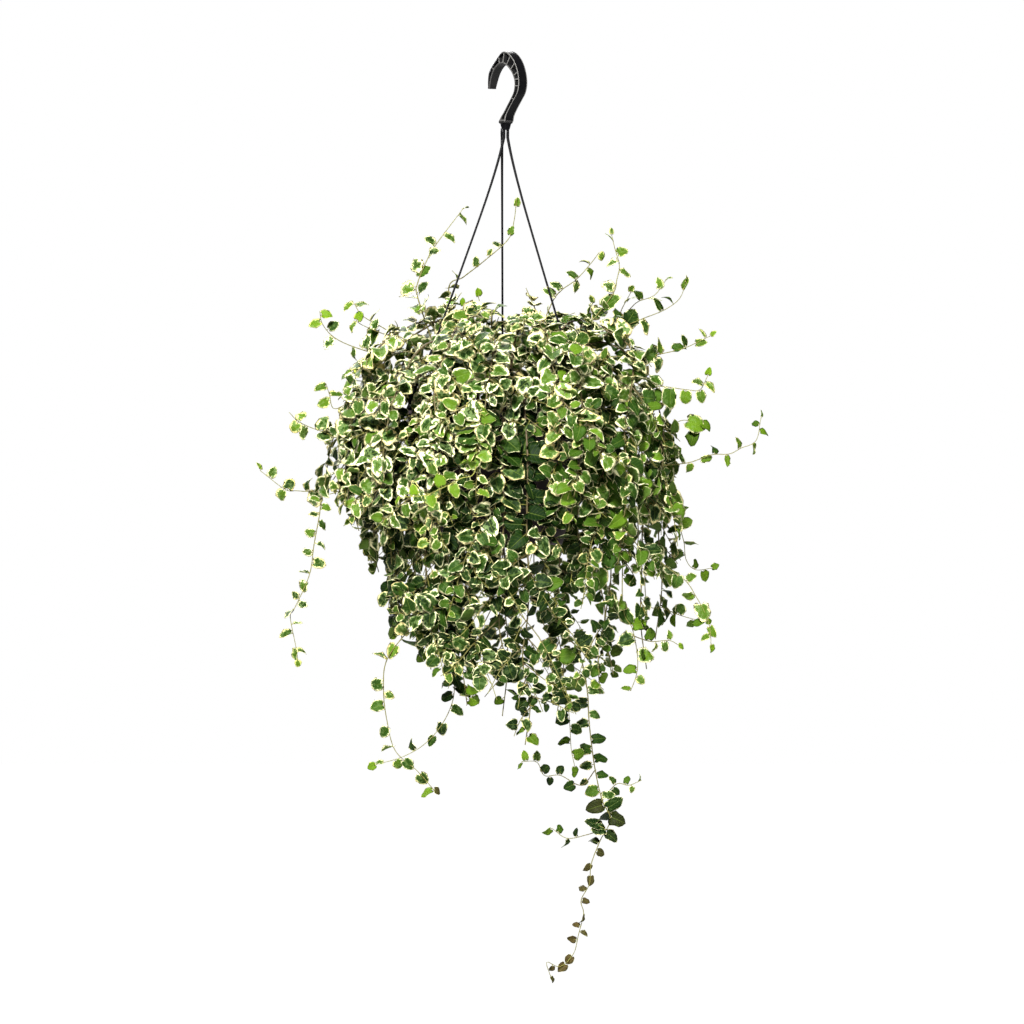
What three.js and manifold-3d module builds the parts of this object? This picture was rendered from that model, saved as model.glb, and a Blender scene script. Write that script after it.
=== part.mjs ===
// Variegated creeping fig in a hanging pot.
// Millimetres, +Z up. The origin is on the saddle of the hook, where it bears on its rail.
import * as THREE from "three";
import { mergeVertices } from "three/addons/utils/BufferGeometryUtils.js";
import Module from "manifold-3d";

const wasm = await Module();
wasm.setup();

// Pot
const POT_X = -7;
const RIM_Z = -413.6;
const RIM_R = 112;
const BASE_Z = -577;
const BASE_R = 76;
const WALL = 2.4;
const POT_SIDES = 24;
const DRAIN_R = 3.6;
const DRAIN_COUNT = 4;
const DRAIN_AT = 38;
const SOIL_Z = -424;
const SOIL_GAP = 0.4;

// Hook, drawn flat and turned about the vertical
const HOOK_TURN = -45;
const WEB_T = 2;
const FLANGE_W = 14.4;
const FLANGE_T = 2;
const RIB_T = 1.3;
const RIB_INSET = 0.8;
const FOOT = { x: 11.6, y: 15.2, z: 3.4, at: [1.2, 0, -69.4] };
const BOSS = { topR: 5.6, endR: 4.2, height: 8.4, at: [1.2, 0, -74.8] };

// Straps
const LUG_R = 121;
const LUG_ANGLES = { strap_front_left: 208, strap_back: 88, strap_front_right: -32 };
const LUG_HOLE_R = 2.6;
const PIN_R = 2;
const STRAP_Z = { top: -79.3, free: -90, end: -404, pin: -409 };
const STRAP_RADII = [1.8, 1.8, 1.6, 1.4, 1.3, 1.3, 1.4, 1.6, 1.8];
const STRAP_SIDES = 5;
const STRAP_SAG = 0.05;
const ROUND_SIDES = 8;

// Stems and leaves
const STEM_R_FOOT = 1.7;
const STEM_R_TIP = 1.2;
const BRANCH_R = 1.4;
const ROD_SIDES = 3;
const STATION_GAP = 74;
const STEM_HOLE_R = 2.9;
const STEM_HOLE_Z = -441;
const BLADE_T = 0.72;
const CLEAR_T = 1.5;
const LEAF_STEP = 60;
const FIRST_LEAF = 58;
const FORK_LEAF = 34;
const BIG_LEAF = 32;
const SMALL_LEAF = 33;
const LISTED_SKIP = 2;
const SEED = 2971;

// Leafy stems. A route runs from the foot in the soil to the tip, and a fork leaves it at
// the point nearest its own first one. A leaf is given by the x and z of its middle and
// its length; where none are given, they follow the rule below.
const STEMS = [
  {
    name: "spray_up_left",
    route: [[-58, -35, -440], [-58, -35, -414], [-81, -50, -350], [-104, -66, -282],
      [-104, -57, -263], [-91, -48, -232], [-77, -40, -210], [-59, -31, -186], [-50, -22, -174]],
    leaves: [[-50, -187, 16], [-68, -209, 18], [-88, -215, 18], [-88, -228, 19], [-107, -241, 22],
      [-98, -256, 22], [-50, -175, 10]],
  },
  {
    name: "spray_up_back",
    route: [[-44, 39, -440], [-44, 39, -414], [-56, 53, -341], [-68, 66, -269], [-50, 60, -254],
      [-25, 45, -235], [4, 40, -209], [11, 40, -186], [14, 34, -160]],
    leaves: [[-59, -251, 14], [-35, -239, 14], [-18, -226, 13], [-10, -214, 13], [7, -202, 13],
      [14, -169, 12]],
  },
  {
    name: "spray_left_high",
    route: [[-68, -8, -440], [-68, -8, -414], [-105, -16, -350], [-143, -22, -350],
      [-178, -34, -341], [-204, -46, -329], [-218, -58, -313], [-221, -70, -298]],
    leaves: [[-212, -302, 16], [-226, -312, 17], [-204, -314, 16], [-211, -337, 19],
      [-182, -349, 22], [-149, -355, 29], [-164, -332, 22]],
  },
  {
    name: "spray_left_back",
    route: [[-63, 21, -440], [-63, 21, -414], [-103, 35, -345], [-143, 50, -318], [-166, 61, -305],
      [-175, 73, -298], [-182, 84, -286]],
    leaves: [[-190, -289, 17], [-175, -287, 17], [-162, -330, 29], [-133, -331, 29],
      [-157, -298, 19]],
    branches: [
      {
        route: [[-143, 40, -324], [-169, 30, -314], [-179, 20, -308]],
        leaves: [[-175, -302, 16], [-156, -314, 19], [-184, -314, 16]],
      },
    ],
  },
  {
    name: "spray_left_mid",
    route: [[-82, -14, -440], [-82, -14, -414], [-130, -24, -368], [-179, -34, -401],
      [-204, -37, -414], [-210, -41, -397], [-214, -44, -384]],
    leaves: [[-218, -388, 17], [-216, -406, 19], [-202, -398, 19], [-192, -418, 24]],
    branches: [
      {
        route: [[-169, -14, -398], [-178, -3, -390], [-184, 8, -368]],
        leaves: [[-190, -371, 19], [-175, -364, 19], [-191, -386, 19]],
      },
    ],
  },
  {
    name: "spray_left_low",
    route: [[-80, -29, -440], [-80, -29, -414], [-136, -45, -378], [-191, -64, -444],
      [-216, -73, -442], [-244, -83, -431], [-257, -92, -419]],
    leaves: [[-242, -424, 16], [-250, -436, 18], [-239, -440, 19], [-217, -431, 22],
      [-210, -451, 22], [-194, -434, 24]],
  },
  {
    name: "spray_far_left",
    route: [[-87, 16, -440], [-87, 16, -414], [-128, 25, -388], [-193, 38, -428], [-203, 40, -492],
      [-229, 34, -511], [-251, 27, -512], [-265, 20, -510], [-294, 14, -488]],
    leaves: [[-268, -516, 18], [-258, -502, 17], [-238, -502, 19], [-228, -518, 26],
      [-281, -492, 16], [-295, -484, 12]],
  },
  {
    name: "trail_left",
    route: [[-93, -3, -440], [-93, -3, -414], [-131, -8, -388], [-197, -13, -428],
      [-218, -14, -515], [-223, -17, -545], [-229, -20, -578], [-233, -22, -608],
      [-242, -25, -632], [-253, -28, -655], [-257, -30, -664], [-250, -33, -700], [-248, -36, -713]],
    leaves: [[-226, -523, 17], [-216, -532, 14], [-230, -540, 14], [-217, -554, 16],
      [-232, -563, 16], [-220, -577, 16], [-235, -586, 16], [-226, -599, 18], [-240, -610, 14],
      [-240, -625, 18], [-250, -638, 13], [-241, -648, 13], [-256, -656, 18], [-247, -670, 12],
      [-262, -684, 18], [-253, -702, 17], [-242, -703, 16], [-248, -716, 11]],
  },
  {
    name: "trail_front_left",
    route: [[-45, -75, -440], [-45, -75, -414], [-62, -111, -390], [-78, -142, -428],
      [-79, -145, -505], [-78, -142, -644], [-113, -141, -677], [-140, -139, -713],
      [-144, -138, -749], [-140, -136, -785], [-130, -135, -821], [-104, -133, -845],
      [-83, -132, -869]],
    leaves: [[-88, -648, 22], [-101, -667, 20], [-118, -677, 19], [-128, -697, 19],
      [-145, -710, 18], [-151, -742, 19], [-139, -756, 14], [-151, -768, 17], [-142, -796, 17],
      [-137, -817, 17], [-120, -833, 17], [-101, -851, 17], [-91, -870, 16], [-82, -868, 11]],
    branches: [
      {
        route: [[-76, -142, -640], [-70, -136, -680], [-62, -127, -724], [-61, -120, -757],
          [-73, -123, -787], [-94, -126, -812], [-121, -129, -828], [-155, -132, -838]],
        leaves: [[-72, -790, 17], [-59, -773, 18], [-83, -805, 14], [-109, -817, 16],
          [-128, -836, 14], [-145, -833, 12], [-156, -839, 11]],
      },
    ],
  },
  {
    name: "spray_right_high",
    route: [[48, 6, -440], [48, 6, -414], [93, 17, -340], [138, 24, -317], [166, 20, -305],
      [191, 16, -295], [209, 12, -282], [217, 8, -264]],
    leaves: [[148, -308, 29], [168, -313, 22], [185, -290, 20], [199, -283, 19], [214, -268, 17],
      [218, -260, 11]],
  },
  {
    name: "spray_right_mid",
    route: [[57, -20, -440], [57, -20, -414], [110, -30, -356], [162, -44, -354], [185, -55, -349],
      [214, -65, -342], [244, -76, -328]],
    leaves: [[184, -343, 22], [202, -342, 19], [214, -335, 17], [230, -338, 16], [236, -326, 14],
      [155, -350, 26], [184, -365, 24], [245, -326, 10]],
  },
  {
    name: "spray_up_mid",
    route: [[28, 4, -440], [28, 4, -414], [41, 15, -330], [56, 20, -287], [68, 14, -271],
      [86, 8, -258], [104, 2, -238], [113, -4, -226]],
    leaves: [[54, -275, 20], [60, -264, 18], [86, -268, 18], [80, -251, 17], [104, -251, 17],
      [95, -235, 14], [115, -230, 14]],
  },
  {
    name: "spray_up_right",
    route: [[42, -11, -440], [42, -11, -414], [85, -22, -335], [127, -32, -280], [134, -27, -259],
      [137, -22, -242], [132, -17, -223], [128, -12, -206]],
    leaves: [[124, -289, 29], [125, -268, 19], [130, -238, 17], [146, -251, 18], [139, -226, 16],
      [127, -212, 14], [128, -203, 10]],
  },
  {
    name: "spray_right_back",
    route: [[51, 27, -440], [51, 27, -414], [99, 44, -338], [145, 64, -298], [160, 71, -284],
      [180, 77, -276], [194, 84, -258]],
    leaves: [[175, -282, 18], [187, -264, 18], [162, -276, 17], [137, -301, 22], [196, -256, 10]],
    branches: [
      {
        route: [[140, 60, -295], [151, 40, -274]],
        leaves: [[149, -283, 19], [152, -270, 12]],
      },
    ],
  },
  {
    name: "spray_right_front",
    route: [[61, -35, -440], [61, -35, -414], [114, -59, -366], [167, -84, -389], [187, -91, -388],
      [216, -98, -392], [232, -105, -392], [241, -112, -376]],
    leaves: [[180, -379, 24], [179, -398, 24], [197, -397, 29], [215, -401, 20], [234, -401, 18],
      [246, -389, 18], [229, -383, 16], [242, -372, 11]],
  },
  {
    name: "spray_right_rear",
    route: [[62, 13, -440], [62, 13, -414], [117, 32, -369], [176, 48, -446], [193, 56, -439],
      [214, 57, -427], [240, 64, -432]],
    leaves: [[222, -432, 29], [241, -433, 17], [226, -450, 22], [188, -427, 22], [198, -440, 22]],
  },
  {
    name: "spray_far_right",
    route: [[79, -5, -440], [79, -5, -414], [116, -13, -386], [169, -18, -428], [169, -18, -482],
      [197, -17, -481], [222, -15, -478], [248, -14, -469], [269, -12, -468], [283, -11, -461],
      [301, -9, -452], [307, -8, -425]],
    leaves: [[202, -461, 22], [212, -473, 18], [221, -487, 16], [236, -476, 17], [251, -463, 16],
      [266, -474, 16], [281, -458, 16], [298, -460, 16], [310, -442, 16], [302, -432, 12],
      [308, -421, 10], [181, -492, 24]],
  },
  {
    name: "trail_right_back",
    route: [[66, 28, -440], [66, 28, -414], [114, 31, -383], [179, 39, -428], [191, 45, -523],
      [206, 43, -546], [215, 40, -572], [218, 36, -595], [229, 33, -607], [250, 30, -605]],
    leaves: [[215, -535, 19], [220, -550, 18], [205, -559, 17], [222, -575, 19], [210, -590, 18],
      [230, -599, 14], [240, -611, 16], [251, -604, 11]],
  },
  {
    name: "trail_right_low",
    route: [[80, -21, -440], [80, -21, -414], [115, -23, -382], [172, -34, -428], [175, -35, -505],
      [172, -34, -581], [192, -39, -602], [216, -45, -620], [228, -50, -638], [240, -55, -660],
      [245, -61, -678], [246, -66, -697]],
    leaves: [[206, -617, 19], [222, -616, 16], [221, -637, 18], [235, -655, 26], [230, -670, 16],
      [247, -676, 17], [239, -686, 14], [247, -696, 11]],
  },
  {
    name: "trail_right_rear",
    route: [[84, 9, -440], [84, 9, -414], [116, 17, -382], [169, 24, -428], [173, 24, -505],
      [169, 24, -638], [191, 28, -653], [211, 32, -662], [240, 36, -670]],
    leaves: [[185, -660, 26], [204, -668, 17], [212, -654, 17], [224, -670, 16], [240, -668, 11]],
  },
  {
    name: "trail_right_front",
    route: [[70, -49, -440], [70, -49, -414], [105, -55, -382], [140, -88, -428], [143, -90, -505],
      [140, -88, -643], [152, -84, -677], [158, -79, -709], [157, -74, -731], [150, -70, -751]],
    leaves: [[146, -655, 24], [162, -670, 24], [146, -691, 24], [166, -708, 26], [151, -725, 19],
      [161, -737, 14], [146, -749, 14]],
    branches: [
      {
        route: [[155, -80, -686], [174, -73, -692], [196, -67, -691], [208, -60, -697]],
        leaves: [[173, -683, 17], [180, -701, 14], [191, -697, 16], [196, -684, 13], [208, -696, 11]],
      },
    ],
  },
  {
    name: "trail_long",
    route: [[55, -53, -440], [55, -53, -414], [85, -83, -392], [110, -106, -428],
      [113, -108, -505], [66, -66, -658], [88, -64, -703], [98, -62, -749], [100, -60, -782],
      [103, -58, -812], [108, -55, -847], [116, -53, -882], [126, -51, -905], [114, -49, -930],
      [103, -47, -959], [101, -45, -982], [91, -43, -1002], [94, -41, -1018], [88, -38, -1043],
      [82, -37, -1066], [66, -48, -1081], [50, -63, -1075], [54, -60, -1091]],
    leaves: [[72, -667, 29], [96, -691, 29], [82, -709, 29], [107, -725, 26], [89, -739, 26],
      [110, -751, 26], [92, -766, 24], [110, -779, 22], [91, -792, 22], [113, -808, 22],
      [94, -820, 22], [114, -832, 22], [95, -841, 19], [116, -852, 19], [106, -871, 22],
      [121, -876, 22], [128, -888, 29], [109, -890, 29], [119, -900, 29], [132, -904, 26],
      [104, -908, 26], [116, -917, 24], [127, -925, 22], [107, -931, 19], [113, -944, 14],
      [101, -956, 16], [102, -973, 16], [94, -989, 14], [97, -1003, 12], [94, -1021, 16],
      [86, -1032, 12], [92, -1040, 14], [79, -1048, 14], [79, -1068, 16], [71, -1080, 16],
      [56, -1081, 11], [55, -1091, 10]],
    branches: [
      {
        route: [[116, -40, -883], [133, -47, -863], [148, -53, -864], [163, -60, -858]],
        leaves: [[128, -857, 14], [133, -872, 14], [145, -859, 14], [152, -870, 13], [160, -858, 13]],
      },
      {
        route: [[119, -40, -917], [97, -37, -924], [74, -33, -928], [56, -30, -916]],
        leaves: [[65, -918, 17], [53, -919, 16], [73, -936, 17], [84, -920, 14]],
      },
      {
        route: [[107, -50, -847], [91, -57, -864], [66, -64, -852], [47, -70, -852],
          [38, -77, -836], [20, -84, -835]],
        leaves: [[97, -857, 14], [80, -864, 18], [66, -847, 18], [54, -860, 13], [47, -846, 17],
          [38, -829, 16], [24, -828, 16], [18, -840, 12]],
      },
    ],
  },
  {
    name: "trail_second",
    route: [[32, -77, -440], [32, -77, -414], [49, -110, -392], [65, -141, -428], [66, -144, -505],
      [42, -96, -643], [61, -91, -703], [73, -86, -751], [77, -82, -787], [79, -77, -820],
      [83, -72, -840]],
    leaves: [[48, -655, 29], [62, -677, 29], [50, -697, 29], [72, -709, 26], [60, -730, 26],
      [82, -744, 26], [65, -760, 24], [84, -770, 22], [68, -785, 22], [86, -797, 19],
      [72, -812, 19], [86, -826, 18], [83, -845, 16]],
  },
  {
    name: "runner_front",
    route: [[-21, -70, -440], [-21, -70, -414], [-24, -123, -354], [-33, -188, -428],
      [-35, -200, -488], [-52, -204, -498], [-71, -207, -508], [-95, -210, -518], [-122, -214, -520]],
    leaves: [[-42, -479, 19], [-60, -510, 18], [-78, -499, 17], [-86, -523, 17], [-108, -511, 14],
      [-122, -523, 11]],
    young: true,
  },
  {
    name: "sprig_top",
    route: [[-19, -9, -440], [-19, -9, -414], [-20, -21, -350], [-25, -30, -329], [-22, -35, -310],
      [-29, -39, -290], [-32, -44, -280]],
    leaves: [[-37, -293, 17], [-16, -300, 18], [-31, -307, 17], [-32, -277, 12], [-19, -322, 22]],
    young: true,
    branches: [
      {
        route: [[-25, -34, -324], [-42, -46, -310], [-50, -58, -292]],
        leaves: [[-48, -308, 17], [-37, -300, 14], [-50, -289, 11]],
      },
    ],
  },
  {
    name: "curtain_left_a",
    route: [[-89, -42, -440], [-89, -42, -414], [-119, -47, -382], [-132, -63, -425],
      [-144, -69, -480], [-133, -64, -560], [-129, -61, -626], [-123, -58, -691]],
    fork: [[-133, -49, -400], [-151, -33, -424], [-162, -35, -478], [-158, -39, -532],
      [-156, -29, -600]],
  },
  {
    name: "curtain_left_b",
    route: [[-64, -72, -440], [-64, -72, -414], [-83, -96, -382], [-94, -109, -425],
      [-102, -120, -480], [-96, -113, -560], [-94, -111, -615], [-98, -112, -670], [-88, -106, -725]],
  },
  {
    name: "curtain_front_a",
    route: [[-35, -88, -440], [-35, -88, -414], [-44, -116, -382], [-49, -133, -425],
      [-53, -146, -480], [-51, -139, -560], [-45, -135, -611], [-52, -137, -663],
      [-51, -136, -714], [-45, -132, -766]],
  },
  {
    name: "curtain_front_b",
    route: [[-4, -92, -440], [-4, -92, -414], [-3, -122, -382], [-2, -139, -425], [-2, -153, -480],
      [-2, -139, -560], [0, -135, -615], [-7, -136, -670], [2, -129, -725], [-3, -128, -780]],
  },
  {
    name: "curtain_front_c",
    route: [[14, -90, -440], [14, -90, -414], [20, -119, -382], [24, -136, -425], [27, -149, -480],
      [26, -143, -560], [28, -141, -611], [27, -141, -661], [21, -144, -712], [30, -138, -763],
      [24, -141, -814]],
  },
  {
    name: "curtain_front_d",
    route: [[55, -68, -440], [55, -68, -414], [80, -85, -382], [105, -110, -425],
      [116, -120, -480], [114, -118, -560], [110, -120, -608], [119, -116, -657],
      [111, -119, -705], [113, -119, -754]],
  },
  {
    name: "curtain_right_a",
    route: [[78, -36, -440], [78, -36, -414], [106, -46, -382], [152, -65, -425], [168, -71, -480],
      [164, -70, -560], [163, -71, -615], [162, -71, -670], [169, -68, -725]],
  },
  {
    name: "curtain_left_c",
    route: [[-87, 46, -440], [-87, 46, -414], [-113, 61, -382], [-128, 70, -425], [-139, 77, -480],
      [-129, 71, -560], [-129, 66, -618], [-120, 66, -677]],
    fork: [[-130, 47, -400], [-144, 36, -424], [-151, 43, -478], [-152, 35, -532],
      [-156, 31, -588], [-152, 27, -610]],
  },
  {
    name: "curtain_back_a",
    route: [[-51, 81, -440], [-51, 81, -414], [-65, 107, -382], [-73, 123, -425], [-80, 135, -480],
      [-75, 125, -560], [-69, 125, -612], [-77, 118, -663], [-68, 119, -715]],
    fork: [[-53, 124, -400], [-44, 142, -424], [-45, 143, -478], [-36, 154, -532], [-39, 142, -600]],
  },
  {
    name: "curtain_back_b",
    route: [[-2, 92, -440], [-2, 92, -414], [9, 121, -382], [0, 139, -425], [1, 153, -480],
      [0, 144, -560], [-5, 139, -624], [3, 142, -687], [1, 138, -751]],
  },
  {
    name: "curtain_back_c",
    route: [[38, 81, -440], [38, 81, -414], [52, 107, -382], [61, 123, -425], [67, 135, -480],
      [66, 132, -560], [66, 132, -616], [62, 130, -671], [71, 134, -727], [63, 131, -782]],
    fork: [[44, 128, -400], [30, 139, -424], [34, 148, -478], [37, 147, -532], [35, 144, -588],
      [36, 144, -640]],
  },
  {
    name: "curtain_back_d",
    route: [[67, 55, -440], [67, 55, -414], [91, 73, -382], [117, 93, -425], [129, 102, -480],
      [126, 100, -560], [128, 101, -618], [121, 98, -676], [131, 102, -734]],
  },
  {
    name: "curtain_right_b",
    route: [[82, 25, -440], [82, 25, -414], [112, 26, -382], [173, 43, -426], [191, 47, -479],
      [185, 47, -560], [189, 47, -626], [181, 44, -691]],
  },
  {
    name: "shoulder_front_left",
    route: [[-53, -58, -440], [-53, -58, -414], [-66, -76, -356], [-80, -93, -334],
      [-106, -123, -350], [-129, -143, -396], [-142, -150, -450], [-145, -142, -505],
      [-143, -132, -560]],
    fork: [[-131, -131, -414], [-127, -107, -424], [-138, -106, -478], [-137, -100, -532],
      [-135, -100, -600]],
  },
  {
    name: "shoulder_front",
    route: [[-6, -75, -440], [-6, -75, -414], [-11, -97, -356], [-11, -118, -334],
      [-14, -158, -350], [-21, -181, -396], [-28, -195, -450], [-34, -190, -505], [-34, -182, -520]],
  },
  {
    name: "shoulder_front_right",
    route: [[34, -61, -440], [34, -61, -414], [46, -80, -356], [59, -98, -334], [80, -132, -350],
      [90, -156, -396], [92, -172, -450], [84, -171, -505], [75, -167, -560]],
  },
  {
    name: "shoulder_right",
    route: [[63, -5, -440], [63, -5, -414], [86, -13, -356], [110, -17, -334], [149, -24, -350],
      [178, -34, -396], [190, -42, -450], [185, -48, -505], [176, -50, -545]],
  },
  {
    name: "shoulder_back_right",
    route: [[39, 58, -440], [39, 58, -414], [52, 76, -356], [66, 93, -334], [92, 123, -350],
      [113, 142, -396], [127, 148, -450], [129, 141, -505], [128, 131, -560]],
    fork: [[87, 117, -368], [86, 108, -424], [100, 114, -478], [89, 113, -532], [90, 119, -588],
      [94, 106, -620]],
  },
  {
    name: "shoulder_back",
    route: [[-10, 74, -440], [-10, 74, -414], [-11, 96, -356], [-11, 118, -334], [-11, 158, -350],
      [-6, 188, -396], [0, 202, -450], [7, 198, -505], [16, 189, -590]],
    fork: [[-39, 171, -368], [-61, 168, -424], [-72, 178, -478], [-70, 177, -532], [-63, 181, -600]],
  },
  {
    name: "shoulder_back_left",
    route: [[-60, 51, -440], [-60, 51, -414], [-76, 67, -356], [-92, 82, -334], [-119, 111, -350],
      [-138, 137, -396], [-143, 152, -450], [-136, 153, -505], [-125, 151, -560]],
    fork: [[-115, 107, -368], [-106, 101, -424], [-117, 109, -478], [-105, 108, -532],
      [-106, 106, -588], [-115, 105, -630]],
  },
  {
    name: "crown_a",
    route: [[23, 18, -440], [23, 18, -414], [39, 17, -336], [48, 28, -305], [77, 51, -318],
      [107, 76, -346], [160, 95, -392], [166, 95, -446], [154, 107, -500], [161, 92, -556],
      [159, 96, -590]],
  },
  {
    name: "crown_b",
    route: [[5, 44, -440], [5, 44, -414], [12, 70, -342], [7, 95, -311], [2, 138, -324],
      [23, 173, -346], [51, 181, -392], [69, 183, -446], [74, 184, -500], [61, 176, -560]],
  },
  {
    name: "crown_c",
    route: [[-30, 31, -440], [-30, 31, -414], [-44, 48, -334], [-63, 56, -303], [-97, 77, -316],
      [-137, 86, -346], [-164, 104, -392], [-173, 106, -446], [-174, 107, -500], [-169, 99, -556],
      [-161, 95, -600]],
  },
  {
    name: "crown_d",
    route: [[-49, 0, -440], [-49, 0, -414], [-71, 0, -340], [-89, -10, -309], [-127, -24, -322],
      [-155, -55, -346], [-185, -75, -392], [-183, -90, -446], [-190, -90, -500], [-174, -81, -560]],
  },
  {
    name: "crown_e",
    route: [[-32, -36, -440], [-32, -36, -414], [-45, -56, -336], [-48, -80, -305],
      [-57, -120, -318], [-68, -159, -346], [-83, -170, -392], [-81, -179, -446],
      [-90, -172, -500], [-87, -170, -556], [-88, -168, -580]],
  },
  {
    name: "crown_f",
    route: [[4, -38, -440], [4, -38, -414], [10, -60, -342], [25, -76, -311], [49, -108, -324],
      [50, -148, -346], [64, -168, -392], [64, -179, -446], [55, -165, -500]],
  },
  {
    name: "crown_g",
    route: [[33, -23, -440], [33, -23, -414], [56, -36, -340], [82, -38, -309], [124, -44, -322],
      [152, -69, -346], [150, -115, -392], [142, -124, -446], [146, -127, -500], [140, -127, -556],
      [134, -125, -600]],
  },
  {
    name: "crown_h",
    route: [[-10, -22, -440], [-10, -22, -414], [-16, -25, -328], [-15, -34, -297], [-17, -65, -310]],
  },
];

const group = new THREE.Group();
const V = (x, y, z) => new THREE.Vector3(x, y, z);

// Seeded numbers from 0 to 1.
function draws(seed) {
  let s = (SEED * 7919 + seed * 104729) % 4294967296;
  const next = () => {
    s = (s * 1664525 + 1013904223) % 4294967296;
    return s / 4294967296;
  };
  next();
  next();
  return next;
}

function solidOf(geometry) {
  const plain = geometry.index ? geometry.toNonIndexed() : geometry;
  plain.deleteAttribute("normal");
  plain.deleteAttribute("uv");
  const merged = mergeVertices(plain, 1e-4);
  return new wasm.Manifold(new wasm.Mesh({
    numProp: 3,
    vertProperties: new Float32Array(merged.attributes.position.array),
    triVerts: new Uint32Array(merged.index.array),
  }));
}

function solidFrom(points, faces) {
  const geometry = new THREE.BufferGeometry();
  const flat = points.flatMap((p) => [p.x, p.y, p.z]);
  geometry.setAttribute("position", new THREE.Float32BufferAttribute(flat, 3));
  geometry.setIndex(faces.flat());
  return solidOf(geometry);
}

function geometryOf(solid) {
  const mesh = solid.getMesh();
  const geometry = new THREE.BufferGeometry();
  geometry.setAttribute("position", new THREE.BufferAttribute(mesh.vertProperties, 3));
  geometry.setIndex(new THREE.BufferAttribute(mesh.triVerts, 1));
  geometry.computeVertexNormals();
  return geometry;
}

function place(name, solid, color, roughness) {
  const material = new THREE.MeshStandardMaterial({ color, roughness, metalness: 0 });
  const mesh = new THREE.Mesh(geometryOf(solid), material);
  mesh.name = name;
  group.add(mesh);
  return mesh;
}

// Directions that carry along a line of points without twisting.
function frames(points) {
  const tangents = points.map((p, i) => {
    const a = points[Math.max(0, i - 1)];
    const b = points[Math.min(points.length - 1, i + 1)];
    return b.clone().sub(a).normalize();
  });
  let side = V(1, 0, 0).cross(tangents[0]);
  if (side.length() < 0.2) side = V(0, 1, 0).cross(tangents[0]);
  side.normalize();
  return tangents.map((t) => {
    side = side.clone().addScaledVector(t, -side.dot(t)).normalize();
    return { t, a: side, b: t.clone().cross(side) };
  });
}

// A straight extrusion of an n-sided section, bent along the points and tapered.
function bentRod(points, radii, sides) {
  const section = new THREE.Shape();
  for (let i = 0; i < sides; i += 1) {
    const w = (i / sides) * Math.PI * 2;
    if (i === 0) section.moveTo(Math.cos(w), Math.sin(w));
    else section.lineTo(Math.cos(w), Math.sin(w));
  }
  const steps = points.length - 1;
  const rod = new THREE.ExtrudeGeometry(section, { depth: steps, steps, bevelEnabled: false });
  const turn = frames(points);
  const position = rod.attributes.position;
  for (let i = 0; i < position.count; i += 1) {
    const k = Math.round(position.getZ(i));
    const f = turn[k];
    const p = points[k].clone();
    p.addScaledVector(f.a, position.getX(i) * radii[k]);
    p.addScaledVector(f.b, position.getY(i) * radii[k]);
    position.setXYZ(i, p.x, p.y, p.z);
  }
  return solidOf(rod);
}

function box(w, d, h, x, y, z) {
  const b = new THREE.BoxGeometry(w, d, h);
  b.translate(x, y, z);
  return solidOf(b);
}

function lathe(profile, sides) {
  const g = new THREE.LatheGeometry(profile.map(([r, z]) => new THREE.Vector2(r, z)), sides);
  g.rotateX(Math.PI / 2);
  return solidOf(g);
}

function prism(radius, z0, z1, x, y, sides) {
  const g = new THREE.CylinderGeometry(radius, radius, z1 - z0, sides);
  g.rotateX(Math.PI / 2);
  g.translate(x, y, (z0 + z1) / 2);
  return solidOf(g);
}

// Hook: a web between an outer and an inner flange, with cross ribs, above a flared foot.
const OUTER = [
  [-23.7, -28.1], [-22.9, -19], [-20.9, -10], [-16, -3], [-4.5, 9.4], [0.5, 13.6], [5.5, 14.8],
  [11, 13.2], [17, 9], [23.2, 1.8], [27.6, -7.5], [30.2, -18], [30.2, -27], [27.6, -35.6],
  [22, -43.2], [14, -53.6], [8.6, -62], [6.8, -69],
];
const INNER = [
  [-20.4, -28.1], [-17.6, -18.4], [-13.4, -9.4], [-8, -3.2], [-2.6, -0.3], [2.7, 0.4],
  [8, -1.6], [13.2, -5.6], [18.2, -11.2], [22, -18.4], [23.2, -25.6], [21.4, -34.6],
  [16.4, -42.4], [10.4, -50.4], [4.6, -58.2], [-0.4, -64], [-3.6, -69],
];
const RIBS = [
  [[-15.6, -2.8], [-12.4, -7.8]], [[-4.4, 9], [-3.2, -0.6]], [[4.8, 14], [2.4, 0.4]],
  [[15.6, 9.6], [8.4, -1.8]], [[23.2, 1.2], [15, -7.6]], [[28.2, -10], [20.2, -14.8]],
  [[29.8, -18.6], [22.2, -19.4]], [[29.8, -27], [23, -27]], [[21.4, -43.4], [16.8, -41.4]],
];

function flat(points, width) {
  const shape = new THREE.Shape(points.map(([h, z]) => new THREE.Vector2(h, z)));
  const g = new THREE.ExtrudeGeometry(shape, { depth: width, bevelEnabled: false });
  g.translate(0, 0, -width / 2);
  g.rotateX(Math.PI / 2);
  return solidOf(g);
}

function band(line, thickness, width) {
  const shifted = line.map((p, i) => {
    const a = line[Math.max(0, i - 1)];
    const b = line[Math.min(line.length - 1, i + 1)];
    const l = Math.hypot(b[0] - a[0], b[1] - a[1]);
    return [p[0] + (thickness * (b[1] - a[1])) / l, p[1] - (thickness * (b[0] - a[0])) / l];
  });
  return flat([...line, ...shifted.reverse()], width);
}

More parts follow.
